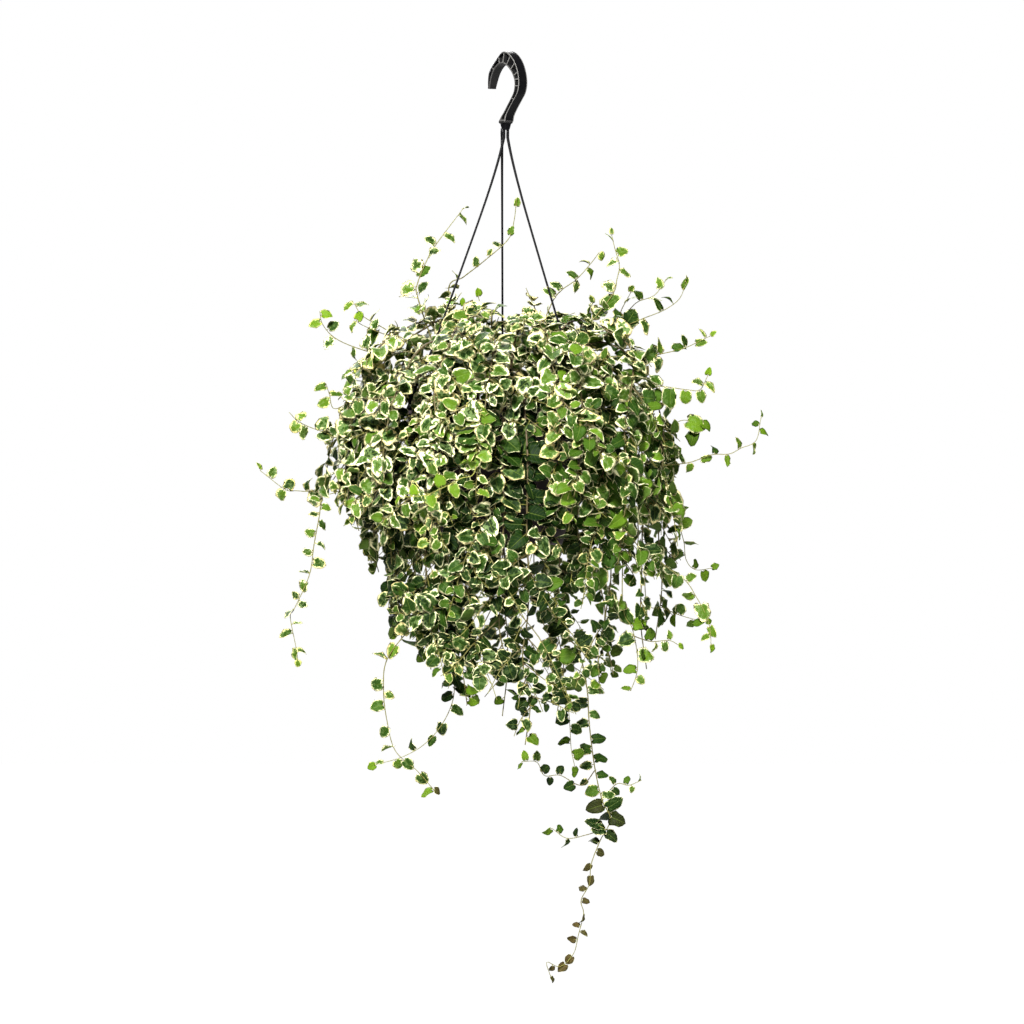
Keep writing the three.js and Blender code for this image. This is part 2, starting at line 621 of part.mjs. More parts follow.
function hook() {
  let body = flat([...OUTER, ...[...INNER].reverse()], WEB_T);
  body = body.add(band(OUTER, FLANGE_T, FLANGE_W));
  body = body.add(band(INNER, -FLANGE_T, FLANGE_W));
  for (const [a, b] of RIBS) {
    const l = Math.hypot(b[0] - a[0], b[1] - a[1]);
    const n = [(-(b[1] - a[1]) / l) * (RIB_T / 2), ((b[0] - a[0]) / l) * (RIB_T / 2)];
    const rib = [
      [a[0] + n[0], a[1] + n[1]], [b[0] + n[0], b[1] + n[1]],
      [b[0] - n[0], b[1] - n[1]], [a[0] - n[0], a[1] - n[1]],
    ];
    body = body.add(flat(rib, FLANGE_W - 2 * RIB_INSET));
  }
  body = body.add(box(FOOT.x, FOOT.y, FOOT.z, ...FOOT.at));
  const boss = new THREE.CylinderGeometry(BOSS.topR, BOSS.endR, BOSS.height, 12);
  boss.rotateX(Math.PI / 2);
  boss.translate(...BOSS.at);
  return body.add(solidOf(boss)).rotate([0, 0, HOOK_TURN]);
}
const hookSolid = hook();
place("hanger_hook", hookSolid, 0x232321, 0.45);

// Straps: from under the hook's boss to a pin through each lug of the pot, bowed in
// a little between, out(t) = t - STRAP_SAG (1 - (1 - 2t)^4) of the way to the lug.
const STRAP_TOPS = {
  strap_front_left: [-1.2, -3.4],
  strap_back: [-3.6, 3.6],
  strap_front_right: [3.2, 1.0],
};
const fixed = [{ name: "hanger_hook", solid: hookSolid }];
for (const [name, degrees] of Object.entries(LUG_ANGLES)) {
  const w = (degrees * Math.PI) / 180;
  const [tx, ty] = STRAP_TOPS[name];
  const bx = POT_X + LUG_R * Math.cos(w);
  const by = LUG_R * Math.sin(w);
  const points = [V(tx, ty, STRAP_Z.top), V(tx * 1.05, ty * 1.05, STRAP_Z.free)];
  for (let i = 1; i <= 6; i += 1) {
    const t = i / 6;
    const z = STRAP_Z.free + (STRAP_Z.end - STRAP_Z.free) * t;
    const out = t - STRAP_SAG * (1 - (1 - 2 * t) ** 4);
    points.push(V(tx + (bx - tx) * out, ty + (by - ty) * out, z));
  }
  points.push(V(bx, by, STRAP_Z.pin));
  const pin = lathe([
    [0, -427], [1.4, -427], [4, -421.8], [PIN_R, -421.4], [PIN_R, -412], [0, -412],
  ], ROUND_SIDES).translate([bx, by, 0]);
  const collar = lathe([[0, -413.4], [3.6, -413.4], [2, -407], [0, -407]], ROUND_SIDES)
    .translate([bx, by, 0]);
  const strap = bentRod(points, STRAP_RADII, STRAP_SIDES).add(collar).add(pin);
  place(name, strap, 0x2e3028, 0.5);
  fixed.push({ name, solid: strap });
}

// Pot: a tapered wall with a rolled rim, three lugs and drain holes.
const innerR = (z) => BASE_R - WALL + ((z - BASE_Z) / (RIM_Z - BASE_Z)) * (RIM_R - BASE_R);
function pot() {
  let body = lathe([
    [0, BASE_Z + 1.6], [66, BASE_Z + 1.6], [67.5, BASE_Z], [73.5, BASE_Z], [BASE_R, BASE_Z + 2.5],
    [RIM_R - 1.6, -423], [RIM_R + 3.2, -422.2], [RIM_R + 3.6, -416], [RIM_R + 1.6, RIM_Z],
    [RIM_R - WALL + 0.6, RIM_Z], [innerR(RIM_Z - 4), RIM_Z - 4], [innerR(BASE_Z + 4), BASE_Z + 4],
    [0, BASE_Z + 4],
  ], POT_SIDES);
  for (const degrees of Object.values(LUG_ANGLES)) {
    const w = (degrees * Math.PI) / 180;
    const tab = prism(7, -420.6, -416.4, LUG_R, 0, 10)
      .add(box(8, 14, 4.2, LUG_R - 5, 0, -418.5));
    body = body.add(tab.rotate([0, 0, degrees]));
    const x = LUG_R * Math.cos(w);
    const y = LUG_R * Math.sin(w);
    body = body.subtract(prism(LUG_HOLE_R, -426, -410, x, y, ROUND_SIDES));
  }
  for (let i = 0; i < DRAIN_COUNT; i += 1) {
    const w = ((i + 0.5) / DRAIN_COUNT) * Math.PI * 2;
    const x = DRAIN_AT * Math.cos(w);
    const y = DRAIN_AT * Math.sin(w);
    body = body.subtract(prism(DRAIN_R, BASE_Z - 4, BASE_Z + 8, x, y, ROUND_SIDES));
  }
  return body.translate([POT_X, 0, 0]);
}
const potSolid = pot();
place("pot", potSolid, 0x3a3032, 0.6);
fixed.push({ name: "pot", solid: potSolid });

// Soil, with a plain hole for each stem's foot.
function soil() {
  const floor = BASE_Z + 4 + SOIL_GAP;
  let body = lathe([
    [0, floor], [innerR(floor) - SOIL_GAP, floor], [innerR(SOIL_Z - 3) - SOIL_GAP, SOIL_Z - 3],
    [innerR(SOIL_Z - 3) - 6, SOIL_Z], [60, SOIL_Z + 2.5], [0, SOIL_Z + 4],
  ], POT_SIDES).translate([POT_X, 0, 0]);
  for (const stem of STEMS) {
    const [x, y] = stem.route[0];
    body = body.subtract(prism(STEM_HOLE_R, STEM_HOLE_Z, SOIL_Z + 12, x, y, 4));
  }
  return body;
}
const soilSolid = soil();
place("soil", soilSolid, 0x2b2019, 0.95);
fixed.push({ name: "soil", solid: soilSolid });

// The stations of a stem: its points, with one more on the curve where they lie far apart.
function stations(route, first) {
  const points = route.map(([x, y, z]) => V(x, y, z));
  if (first) points.unshift(first);
  const curve = new THREE.CatmullRomCurve3(points, false, "catmullrom", 0.5);
  const out = [];
  for (let i = 0; i < points.length; i += 1) {
    out.push(points[i]);
    const skip = i === points.length - 1 || (i === 0 && !first);
    if (!skip && points[i].distanceTo(points[i + 1]) > STATION_GAP) {
      out.push(curve.getPoint((i + 0.5) / (points.length - 1)));
    }
  }
  return out;
}

function nearestOn(line, test) {
  let best = null;
  for (let i = 0; i < line.length - 1; i += 1) {
    for (let j = 0; j <= 8; j += 1) {
      const p = line[i].clone().lerp(line[i + 1], j / 8);
      const d = test(p);
      if (best === null || d < best.d) {
        best = { d, p, t: line[i + 1].clone().sub(line[i]).normalize() };
      }
    }
  }
  return best;
}

// A thin slab on an outline, with the same triangles above and below.
function slab(outline, top, normal, thickness) {
  const n = outline.length;
  const points = [];
  for (const h of [thickness / 2, -thickness / 2]) {
    for (const p of outline) points.push(p.clone().addScaledVector(normal, h));
  }
  const faces = [...top];
  for (const [a, b, c] of top) faces.push([a + n, c + n, b + n]);
  for (let i = 0; i < n; i += 1) {
    const j = (i + 1) % n;
    faces.push([i, j, j + n], [i, j + n, i + n]);
  }
  return solidFrom(points, faces);
}

// A pointed oval blade, waved a little across and nodding at the tip. Its root is on the
// stem's axis, and both faces are split into the same triangles.
function blade(leaf, thickness) {
  const { root, along, normal, stalk, length, width } = leaf;
  const across = normal.clone().cross(along);
  const at = (s, w, lift) => root.clone()
    .addScaledVector(along, s)
    .addScaledVector(across, w)
    .addScaledVector(normal, lift);
  if (length < SMALL_LEAF) {
    return slab([
      at(0, 0, 0),
      at(stalk + 0.4 * length, 0.54 * width, 0.07 * length),
      at(stalk + length, 0, -0.06 * length),
      at(stalk + 0.4 * length, -0.54 * width, 0.02 * length),
    ], [[0, 3, 1], [1, 3, 2]], normal, thickness);
  }
  return slab([
    at(0, 0, 0),
    at(stalk + 0.27 * length, 0.5 * width, 0.09 * length),
    at(stalk + 0.72 * length, 0.42 * width, 0.03 * length),
    at(stalk + length, 0, -0.08 * length),
    at(stalk + 0.72 * length, -0.42 * width, 0.09 * length),
    at(stalk + 0.27 * length, -0.5 * width, 0.03 * length),
  ], [[0, 5, 1], [1, 5, 4], [1, 4, 2], [2, 4, 3]], normal, thickness);
}

// Outward from the middle of the plant, and upward on its crown.
function outward(p) {
  const out = V(p.x - POT_X, p.y, 0).multiplyScalar(1 / 200);
  out.z = Math.max(-0.15, Math.min(1, (p.z + 430) / 120));
  return out.normalize();
}

function listedLeaf(line, [x, z, length], draw) {
  const near = nearestOn(line, (p) => Math.hypot(p.x - x, p.z - z));
  const middle = V(x, near.p.y + (draw() - 0.5) * 0.4 * length, z);
  const along = middle.clone().sub(near.p);
  const reach = along.length();
  if (reach < 0.3 * length) along.addScaledVector(near.t, 0.5 * length);
  along.normalize();
  const face = V(0, -0.8, 0.35).addScaledVector(outward(near.p), 0.45);
  face.x += (draw() - 0.5) * 0.7;
  face.z += (draw() - 0.5) * 0.7;
  face.addScaledVector(along, -face.dot(along)).normalize();
  const stalk = Math.max(2.5, reach - length / 2);
  return { root: near.p, along, normal: face, stalk, length, width: length * (0.72 + 0.12 * draw()) };
}

function ruleLeaves(line, from, to, step, big, draw) {
  const leaves = [];
  let run = 0;
  let next = from;
  let hand = draw() < 0.5 ? 1 : -1;
  for (let i = 0; i < line.length - 1; i += 1) {
    const l = line[i].distanceTo(line[i + 1]);
    while (next <= run + l && next < to) {
      const p = line[i].clone().lerp(line[i + 1], (next - run) / l);
      const t = line[i + 1].clone().sub(line[i]).normalize();
      const out = outward(p);
      const side = t.clone().cross(out).normalize();
      const along = t.clone().multiplyScalar(0.15 + 0.4 * draw())
        .addScaledVector(side, hand * (0.75 + 0.3 * draw()))
        .addScaledVector(out, 0.1 + 0.35 * draw());
      along.z -= 0.25;
      along.normalize();
      const normal = out.clone();
      normal.x += (draw() - 0.5) * 0.6;
      normal.y += (draw() - 0.5) * 0.6;
      normal.z += 0.25 + (draw() - 0.5) * 0.5;
      normal.addScaledVector(along, -normal.dot(along)).normalize();
      const length = (big - 4 + 7 * draw()) * (next > to - 2.2 * step ? 0.74 : 1);
      leaves.push({ root: p, along, normal, stalk: 3 + 2 * draw(), length, width: length * 0.8 });
      hand = -hand;
      next += step * (0.8 + 0.4 * draw());
    }
    run += l;
  }
  return leaves;
}

function lengthOf(line) {
  let sum = 0;
  for (let i = 0; i < line.length - 1; i += 1) sum += line[i].distanceTo(line[i + 1]);
  return sum;
}

function taper(line, foot, tip) {
  return line.map((p, i) => foot + (tip - foot) * (i / (line.length - 1)));
}

function boundsOf(solid) {
  const b = solid.boundingBox();
  return [...b.min, ...b.max];
}

function boundsMeet(a, b) {
  return a[0] < b[3] && b[0] < a[3] && a[1] < b[4] && b[1] < a[4] && a[2] < b[5] && b[2] < a[5];
}

function meets(a, boundsA, b) {
  if (!boundsMeet(boundsA, b.bounds)) return false;
  const shared = a.intersect(b.solid);
  const hit = !shared.isEmpty();
  shared.delete();
  return hit;
}

// All stems stand first; then each leaf is added where it clears every other stem's leaves.
const plants = STEMS.map((stem, index) => {
  const draw = draws(index + 1);
  const line = stations(stem.route, null);
  const rods = [{ line, solid: bentRod(line, taper(line, STEM_R_FOOT, STEM_R_TIP), ROD_SIDES) }];
  const leaves = [];
  const whole = lengthOf(line);
  if (stem.leaves) {
    stem.leaves.forEach((leaf, i) => {
      const made = listedLeaf(line, leaf, draw);
      if (i % LISTED_SKIP !== 1) leaves.push(made);
    });
    const start = line.findIndex((p) => Math.hypot(p.x - stem.leaves[0][0], p.z - stem.leaves[0][1]) < 40);
    const hidden = lengthOf(line.slice(0, Math.max(2, start)));
    leaves.push(...ruleLeaves(line, FIRST_LEAF, hidden, LEAF_STEP, BIG_LEAF, draw));
  } else {
    leaves.push(...ruleLeaves(line, FIRST_LEAF, whole, LEAF_STEP, BIG_LEAF, draw));
  }
  if (stem.fork) {
    const near = nearestOn(line, (p) => p.distanceTo(V(...stem.fork[0])));
    const twig = stations(stem.fork, near.p);
    rods.push({ line: twig, solid: bentRod(twig, taper(twig, BRANCH_R, STEM_R_TIP), ROD_SIDES) });
    leaves.push(...ruleLeaves(twig, FORK_LEAF, lengthOf(twig), LEAF_STEP, BIG_LEAF, draw));
  }
  for (const branch of stem.branches ?? []) {
    const start = V(...branch.route[0]);
    const near = nearestOn(line, (p) => p.distanceTo(start));
    const twig = stations(branch.route, near.p);
    rods.push({ line: twig, solid: bentRod(twig, taper(twig, BRANCH_R, STEM_R_TIP), ROD_SIDES) });
    branch.leaves.forEach((leaf, i) => {
      const made = listedLeaf(twig, leaf, draw);
      if (i % LISTED_SKIP !== 1) leaves.push(made);
    });
  }
  for (const rod of rods) rod.bounds = boundsOf(rod.solid);
  return { name: stem.name, young: stem.young, rods, leaves, parts: [] };
});

const obstacles = fixed.map((f) => ({ ...f, bounds: boundsOf(f.solid) }));
for (const plant of plants) {
  for (const rod of plant.rods) {
    obstacles.push({ name: plant.name, solid: rod.solid, bounds: boundsOf(rod.solid) });
  }
}
let kept = 0;
let dropped = 0;
for (const plant of plants) {
  for (const leaf of plant.leaves) {
    const wide = blade(leaf, CLEAR_T);
    const wideBounds = boundsOf(wide);
    const solid = blade(leaf, BLADE_T);
    const bounds = boundsOf(solid);
    const rooted = plant.rods.some((rod) => meets(solid, bounds, rod));
    const blocked = !rooted || obstacles.some((o) => o.name !== plant.name && meets(wide, wideBounds, o))
      || plant.parts.some((o) => meets(solid, bounds, o));
    if (blocked) {
      dropped += 1;
      continue;
    }
    kept += 1;
    plant.parts.push({ solid, bounds });
    obstacles.push({ name: plant.name, solid, bounds });
  }
}

for (const plant of plants) {
  let body = plant.rods[0].solid;
  for (const rod of plant.rods.slice(1)) body = body.add(rod.solid);
  for (const part of plant.parts) body = body.add(part.solid);
  place(plant.name, body, plant.young ? 0x8aa636 : 0x6f9455, 0.55);
}

export default group;
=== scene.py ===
"""Variegated creeping fig spilling from a hanging pot: the finished look."""
import math
from functools import partial
import bpy
import numpy as np
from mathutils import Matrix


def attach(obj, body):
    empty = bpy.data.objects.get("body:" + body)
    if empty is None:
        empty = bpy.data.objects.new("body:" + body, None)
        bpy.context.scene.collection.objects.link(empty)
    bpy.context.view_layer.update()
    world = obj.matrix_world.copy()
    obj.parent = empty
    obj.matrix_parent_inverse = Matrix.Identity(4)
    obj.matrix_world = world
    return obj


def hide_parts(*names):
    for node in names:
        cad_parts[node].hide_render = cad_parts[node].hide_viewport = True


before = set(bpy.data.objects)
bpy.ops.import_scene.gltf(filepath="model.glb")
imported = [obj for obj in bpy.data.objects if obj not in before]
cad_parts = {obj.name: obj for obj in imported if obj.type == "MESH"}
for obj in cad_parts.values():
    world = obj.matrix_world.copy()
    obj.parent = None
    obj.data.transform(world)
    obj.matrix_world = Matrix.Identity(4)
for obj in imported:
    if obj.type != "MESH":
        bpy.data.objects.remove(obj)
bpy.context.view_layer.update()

# Hanger hook
# One black injection-moulded piece: an I-shaped bar with a thin web and two flanges,
# bent into a mirrored question mark, stiffened by cross ribs and flared at its foot.

# The outer and inner edge of the bar and the ends of its ribs, in millimetres (x, z)
# before the hook is turned by HOOK_TURN.
HOOK_OUTER = np.array([
    [-23.7, -28.1], [-22.9, -19.0], [-20.9, -10.0], [-16.0, -3.0], [-10.0, 3.6], [-4.5, 9.4],
    [0.5, 13.6], [5.5, 14.8], [11.0, 13.2], [17.0, 9.0], [23.2, 1.8], [27.6, -7.5],
    [30.2, -18.0], [30.2, -27.0], [27.6, -35.6], [22.0, -43.2], [14.0, -53.6], [8.6, -62.0], [6.8, -69.0]])
HOOK_INNER = np.array([
    [-20.4, -28.1], [-17.6, -18.4], [-13.4, -9.4], [-8.0, -3.2], [-2.6, -0.3], [2.7, 0.4],
    [8.0, -1.6], [13.2, -5.6], [18.2, -11.2], [22.0, -18.4], [23.2, -25.6], [21.4, -34.6],
    [16.4, -42.4], [10.4, -50.4], [4.6, -58.2], [-0.4, -64.0], [-3.6, -69.0]])
HOOK_RIBS = np.array([
    [[-15.6, -2.8], [-12.4, -7.8]], [[-4.4, 9], [-3.2, -0.6]], [[4.8, 14], [2.4, 0.4]],
    [[15.6, 9.6], [8.4, -1.8]], [[23.2, 1.2], [15, -7.6]], [[28.2, -10], [20.2, -14.8]],
    [[29.8, -18.6], [22.2, -19.4]], [[29.8, -27], [23, -27]], [[21.4, -43.4], [16.8, -41.4]]])
HOOK_FLANGE, TIP_TAPER = 14.4, 0.22
FLANGE_THICK, WEB_THICK, RIB_THICK, BEAD_WIDTH, BEAD_THICK = 2.0, 2.0, 1.1, 1.0, 0.9
# The foot's sections from its top down: half width, half depth and height. FOOT_X is
# its middle, and the list after it gives the painted highlight on the faces below each section.
FOOT_STEPS = np.array([
    [5.0, 6.6, -66.2], [5.6, 7.4, -67.6], [5.9, 7.7, -68.4], [5.9, 7.7, -70.4], [5.4, 7.2, -71.2],
    [4.9, 5.4, -72.0], [4.4, 4.9, -75.0], [3.5, 3.9, -78.6], [3.1, 3.4, -79.0]])
FOOT_X, FOOT_SIDES = 1.2, 48
FOOT_HIGHLIGHT = [0.2, 0.5, 0.1, 0, 0, 0, 0, 0]
HOOK_TURN = math.radians(-45)
MM = 0.001


def smooth_line(points, count):
    """A uniform Catmull-Rom curve through the points, taken at equal lengths.
    Between b and c it is 0.5*(2b + (c-a)t + (2a-5b+4c-d)t^2 + (3b-a-3c+d)t^3)."""
    p = np.asarray(points, float)
    q = np.vstack([2 * p[0] - p[1], p, 2 * p[-1] - p[-2]])
    t = np.linspace(0, 1, 14, endpoint=False)[None, :, None]
    a, b, c, d = q[:-3, None], q[1:-2, None], q[2:-1, None], q[3:, None]
    fine = 0.5 * (2 * b + (c - a) * t + (2 * a - 5 * b + 4 * c - d) * t ** 2
                  + (3 * b - a - 3 * c + d) * t ** 3)
    fine = np.vstack([fine.reshape(-1, p.shape[1]), p[-1]])
    run = np.r_[0, np.cumsum(np.linalg.norm(np.diff(fine, axis=0), axis=1))]
    s = np.linspace(0, run[-1], count)
    return np.stack([np.interp(s, run, fine[:, k]) for k in range(p.shape[1])], 1)


def mesh_piece(name, verts, quads, uv=None, materials=(), which=None, colours=None, marks=None, smooth=True):
    """One object at the origin from vertices and four-sided faces, with a bake map for
    each corner, a material number for each face, named vertex colours and face marks."""
    mesh = bpy.data.meshes.new(name)
    mesh.vertices.add(len(verts))
    mesh.vertices.foreach_set("co", np.ascontiguousarray(verts, np.float32).ravel())
    mesh.loops.add(quads.size)
    mesh.loops.foreach_set("vertex_index", np.ascontiguousarray(quads, np.int32).ravel())
    mesh.polygons.add(len(quads))
    mesh.polygons.foreach_set("loop_start", np.arange(len(quads), dtype=np.int32) * 4)
    mesh.update(calc_edges=True)
    mesh.validate()
    if uv is not None:
        layer = mesh.uv_layers.new(name="OFBake")
        layer.data.foreach_set("uv", np.ascontiguousarray(uv, np.float32).ravel())
    for key, value in (colours or {}).items():
        layer = mesh.attributes.new(key, "FLOAT_COLOR", "POINT")
        layer.data.foreach_set("color", np.ascontiguousarray(value, np.float32).ravel())
    for key, value in (marks or {}).items():
        layer = mesh.attributes.new(key, "FLOAT", "FACE")
        layer.data.foreach_set("value", np.ascontiguousarray(value, np.float32))
    for material in materials:
        mesh.materials.append(material)
    if which is not None:
        mesh.polygons.foreach_set("material_index", np.ascontiguousarray(which, np.int32))
    mesh.polygons.foreach_set("use_smooth", np.full(len(quads), smooth))
    piece = bpy.data.objects.new(name, mesh)
    bpy.context.scene.collection.objects.link(piece)
    return piece


def ring_quads(rings, sides, loop=False):
    """Quads between neighbouring closed rings of vertices, and from the last ring back
    to the first where they loop."""
    i, j = np.meshgrid(np.arange(rings if loop else rings - 1), np.arange(sides), indexing="ij")
    a, b, count = i * sides + j, i * sides + (j + 1) % sides, rings * sides
    return np.stack([a, b, (b + sides) % count, (a + sides) % count], -1).reshape(-1, 4)


def bar_quads(rings, sides):
    """Quads round a row of closed rings, with both ends shut by strips across them."""
    h = np.arange(sides // 2 - 1)
    cap = np.stack([h, sides - 1 - h, sides - 2 - h, h + 1], 1)
    return np.vstack([ring_quads(rings, sides), cap, cap[:, ::-1] + (rings - 1) * sides])


def closed_sweep(sections):
    """The mesh of a closed bar from its sections (stations x corners x 3)."""
    return sections.reshape(-1, 3), bar_quads(*sections.shape[:2])


def joined(parts):
    """Several (vertices, quads) meshes as one."""
    first = np.cumsum([0] + [len(v) for v, _ in parts[:-1]])
    return np.vstack([v for v, _ in parts]), np.vstack([q + at for (_, q), at in zip(parts, first)])


def spun(verts, c, s):
    """Points turned about the vertical axis by the angle of cosine c and sine s."""
    return np.stack([c * verts[:, 0] - s * verts[:, 1], s * verts[:, 0] + c * verts[:, 1], verts[:, 2]], 1)


def flat_bar(centre, across, width, thick, edge=0.5, aside=0.0):
    """A bar with rounded corners along a flat line: at each station the section is an
    eight-cornered rectangle, thick along `across` in the plane, wide along Y and moved
    by `aside` along Y."""
    n = len(centre)
    t, w = np.broadcast_to(thick, n) / 2, np.broadcast_to(width, n) / 2
    s = np.array([[1, -1], [1, 1], [1, 1], [-1, 1], [-1, 1], [-1, -1], [-1, -1], [1, -1]], float)
    inset = np.array([[0, 1], [0, 1], [1, 0], [1, 0], [0, 1], [0, 1], [1, 0], [1, 0]], float)
    e = np.minimum(edge, np.minimum(t, w) * 0.6)[:, None]
    a = s[None, :, 0] * (t[:, None] - inset[None, :, 0] * e)
    b = s[None, :, 1] * (w[:, None] - inset[None, :, 1] * e)
    p = np.zeros((n, 8, 3))
    p[..., 0] = centre[:, None, 0] + across[:, None, 0] * a
    p[..., 2] = centre[:, None, 1] + across[:, None, 1] * a
    p[..., 1] = b + np.reshape(aside, (-1, 1))
    return p


def wire(tree, node, sockets):
    """Gives sockets of a node a number, a colour or another node's output."""
    for key, value in sockets.items():
        if isinstance(value, bpy.types.NodeSocket):
            tree.links.new(value, node.inputs[key])
        else:
            node.inputs[key].default_value = (*value, 1) if isinstance(value, tuple) else value
    return node.outputs


def put(tree, kind, sockets=None, **settings):
    """The outputs of a new shader node with these settings and sockets."""
    node = tree.nodes.new("ShaderNode" + kind)
    for key, value in settings.items():
        setattr(node, key, value)
    return wire(tree, node, sockets or {})


def blend(tree, mask, a, b):
    """Colour mix of two colours or sockets by a mask."""
    return put(tree, "Mix", {"Factor": mask, "A": a, "B": b}, data_type="RGBA")["Result"]


def new_material(name):
    """A material with its node tree and its shader."""
    material = bpy.data.materials.new(name)
    material.use_nodes = True
    return material, material.node_tree, material.node_tree.nodes["Principled BSDF"]


def plastic_grain(name):
    """Group: fine pits and a faint cloudiness of moulded plastic, as masks."""
    group = bpy.data.node_groups.new(name, "ShaderNodeTree")
    for socket, way in (("Scale", "INPUT"), ("Height", "OUTPUT"), ("Cloud", "OUTPUT")):
        group.interface.new_socket(socket, in_out=way, socket_type="NodeSocketFloat")
    group.interface.items_tree["Scale"].default_value = 900
    take, give = group.nodes.new("NodeGroupInput"), group.nodes.new("NodeGroupOutput")
    where = put(group, "TexCoord")["Object"]
    pits = put(group, "TexNoise", {"Vector": where, "Scale": take.outputs["Scale"], "Detail": 2})["Fac"]
    cloud = put(group, "TexNoise", {"Vector": where, "Scale": 34, "Detail": 5})["Fac"]
    wire(group, give, {"Height": pits, "Cloud": cloud})
    return group


GRAIN = plastic_grain("moulded grain")


def moulded(name, dark, light, rough, pit, edge):
    """Moulded plastic: two close colours clouded together over fine pits, with a painted
    highlight in the edge colour on the ribs and edges that a face value marks."""
    material, tree, shader = new_material(name)
    grain = put(tree, "Group", node_tree=GRAIN)
    painted_highlight = put(tree, "Attribute", attribute_name="painted_edge_highlight")["Fac"]
    gloss = {"Value": grain["Cloud"], "To Min": rough - 0.08, "To Max": rough + 0.1}
    pits = {"Height": grain["Height"], "Strength": pit, "Distance": 0.2 * MM}
    # Painted highlight: marked faces are blended towards the pale edge colour.
    wire(tree, shader, {
        "Base Color": blend(tree, painted_highlight, blend(tree, grain["Cloud"], dark, light), edge),
        "Roughness": put(tree, "MapRange", gloss)["Result"], "Specular IOR Level": 0.05,
        "Normal": put(tree, "Bump", pits)["Normal"]})
    return material


# The pale edge colour is the painted highlight on the hook's ribs, edges and foot.
BLACK_PLASTIC = moulded("black moulded plastic", dark=(0.0010, 0.0010, 0.0012),
                        light=(0.0065, 0.0065, 0.0075), rough=0.40, pit=0.2, edge=(0.17, 0.165, 0.155))


def hook_parts():
    """The two flanges, a bead along one rim of the outer one, the web between them, the
    ribs, the tip, and the foot with its boss, with each face's painted highlight, stronger on
    ribs, bevels and towards the right. Towards the tip, over the stations k, the flanges
    narrow as 1 - TIP_TAPER*exp(-k/9)."""
    n = 120
    outer, inner = smooth_line(HOOK_OUTER, n), smooth_line(HOOK_INNER, n)
    mid, gap = (outer + inner) / 2, outer - inner
    depth = np.linalg.norm(gap, axis=1)
    across = gap / depth[:, None]
    # Painted highlight of each face: lit_rim and lit_rib for the eight sides of a section, and right, which
    # makes the outer flange's edges and bead lighter towards the right.
    lit_rim, lit_rib = np.array([0, 1, 0.4, 0.4, 0, 0.4, 0.4, 1]), np.array([0.1, 1, 1, 1, 0.1, 1, 1, 1])
    right = np.clip((outer[:-1, 0] + 2) / 10, 0.1, 1)
    width = HOOK_FLANGE * (1 - TIP_TAPER * np.exp(-np.arange(n) / 9))
    inset = across * FLANGE_THICK / 2
    bars = [(flat_bar(outer - inset, across, width, FLANGE_THICK), np.outer(right, lit_rim)),
            (flat_bar(inner + inset, across, width, FLANGE_THICK), lit_rim[None] * 0.5 + 0.06),
            (flat_bar(outer, across, BEAD_WIDTH, BEAD_THICK, 0.2, (width - BEAD_WIDTH) / 2),
             right[:, None] * 0.5 * np.ones(8)),
            (flat_bar(mid, across, WEB_THICK, depth - 2.0, 0.2), lit_rim[None] * 0)]
    for out, low in HOOK_RIBS:
        way = (out - low) / np.linalg.norm(out - low)
        line = np.stack([low + way * 0.6, out - way * 0.6])
        turn = np.repeat(np.array([[way[1], -way[0]]]), 2, 0)
        bars.append((flat_bar(line, turn, HOOK_FLANGE - 1.2, RIB_THICK, 0.25), lit_rib[None] * 0.8))
    tip = np.stack([inner[0] + across[0] * 0.2, outer[0] - across[0] * 0.2])
    turn = np.repeat(np.array([[across[0][1], -across[0][0]]]), 2, 0)
    bars.append((flat_bar(tip, turn, width[0], 2.2, 0.4), lit_rib[None] * 0.15))
    w = np.linspace(0, 2 * np.pi, FOOT_SIDES, endpoint=False)
    edge = np.stack([np.sign(np.cos(w)) * np.abs(np.cos(w)) ** 0.4,
                     np.sign(np.sin(w)) * np.abs(np.sin(w)) ** 0.4], 1)
    foot = np.concatenate([edge[None] * FOOT_STEPS[:, None, :2] + [FOOT_X, 0],
                           np.repeat(FOOT_STEPS[:, None, 2:], FOOT_SIDES, 1)], 2)
    # Each face's painted highlight, the foot's from its own list.
    pale = [np.r_[np.broadcast_to(marks, (len(bar) - 1, 8)).ravel(), np.zeros(6)] for bar, marks in bars]
    pale.append(np.r_[np.repeat(FOOT_HIGHLIGHT[::-1], FOOT_SIDES), np.zeros(FOOT_SIDES - 2)])
    return (*joined([closed_sweep(bar) for bar, _ in bars] + [closed_sweep(foot[::-1])]),
            np.concatenate(pale))


# pale holds the painted highlight of each face of the hook.
verts, quads, pale = hook_parts()
verts = spun(verts, math.cos(HOOK_TURN), math.sin(HOOK_TURN)) * MM
hook = mesh_piece("hanger_hook_moulding", verts, quads, materials=[BLACK_PLASTIC],
                  marks={"painted_edge_highlight": pale}, smooth=False)
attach(hook, "root")
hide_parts("hanger_hook")

# Hanger straps
# Three stiff moulded straps leave the foot of the hook side by side and spread to the
# rim, each ending in a barbed pin pushed through a lug of the pot. They bow in a little
# between: at the share t of its height a strap is t - SAG(1 - (1 - 2t)^4) of the way out.

# Each strap's direction from the pot's axis in degrees, and its x and y at the hook.
STRAPS = {"strap_front_left": (208, -1.2, -3.4), "strap_back": (88, -3.6, 3.6),
          "strap_front_right": (-32, 3.2, 1.0)}
STRAP_TOP, STRAP_DROP, STRAP_SAG = -88.0, 316.0, 0.05
POT_X, LUG_R = -7.0, 121.0
# Heights and radii of the pin's rings, from the strap's lower end down.
PIN_Z = [-407.6, -410, -411.5, -413, -413.4, -413.6, -417, -421.3, -421.6, -422.2, -424, -427]
PIN_R = [1.9, 2.4, 3.3, 3.5, 3.4, 1.9, 1.9, 1.9, 3.7, 3.8, 2.9, 1.3]


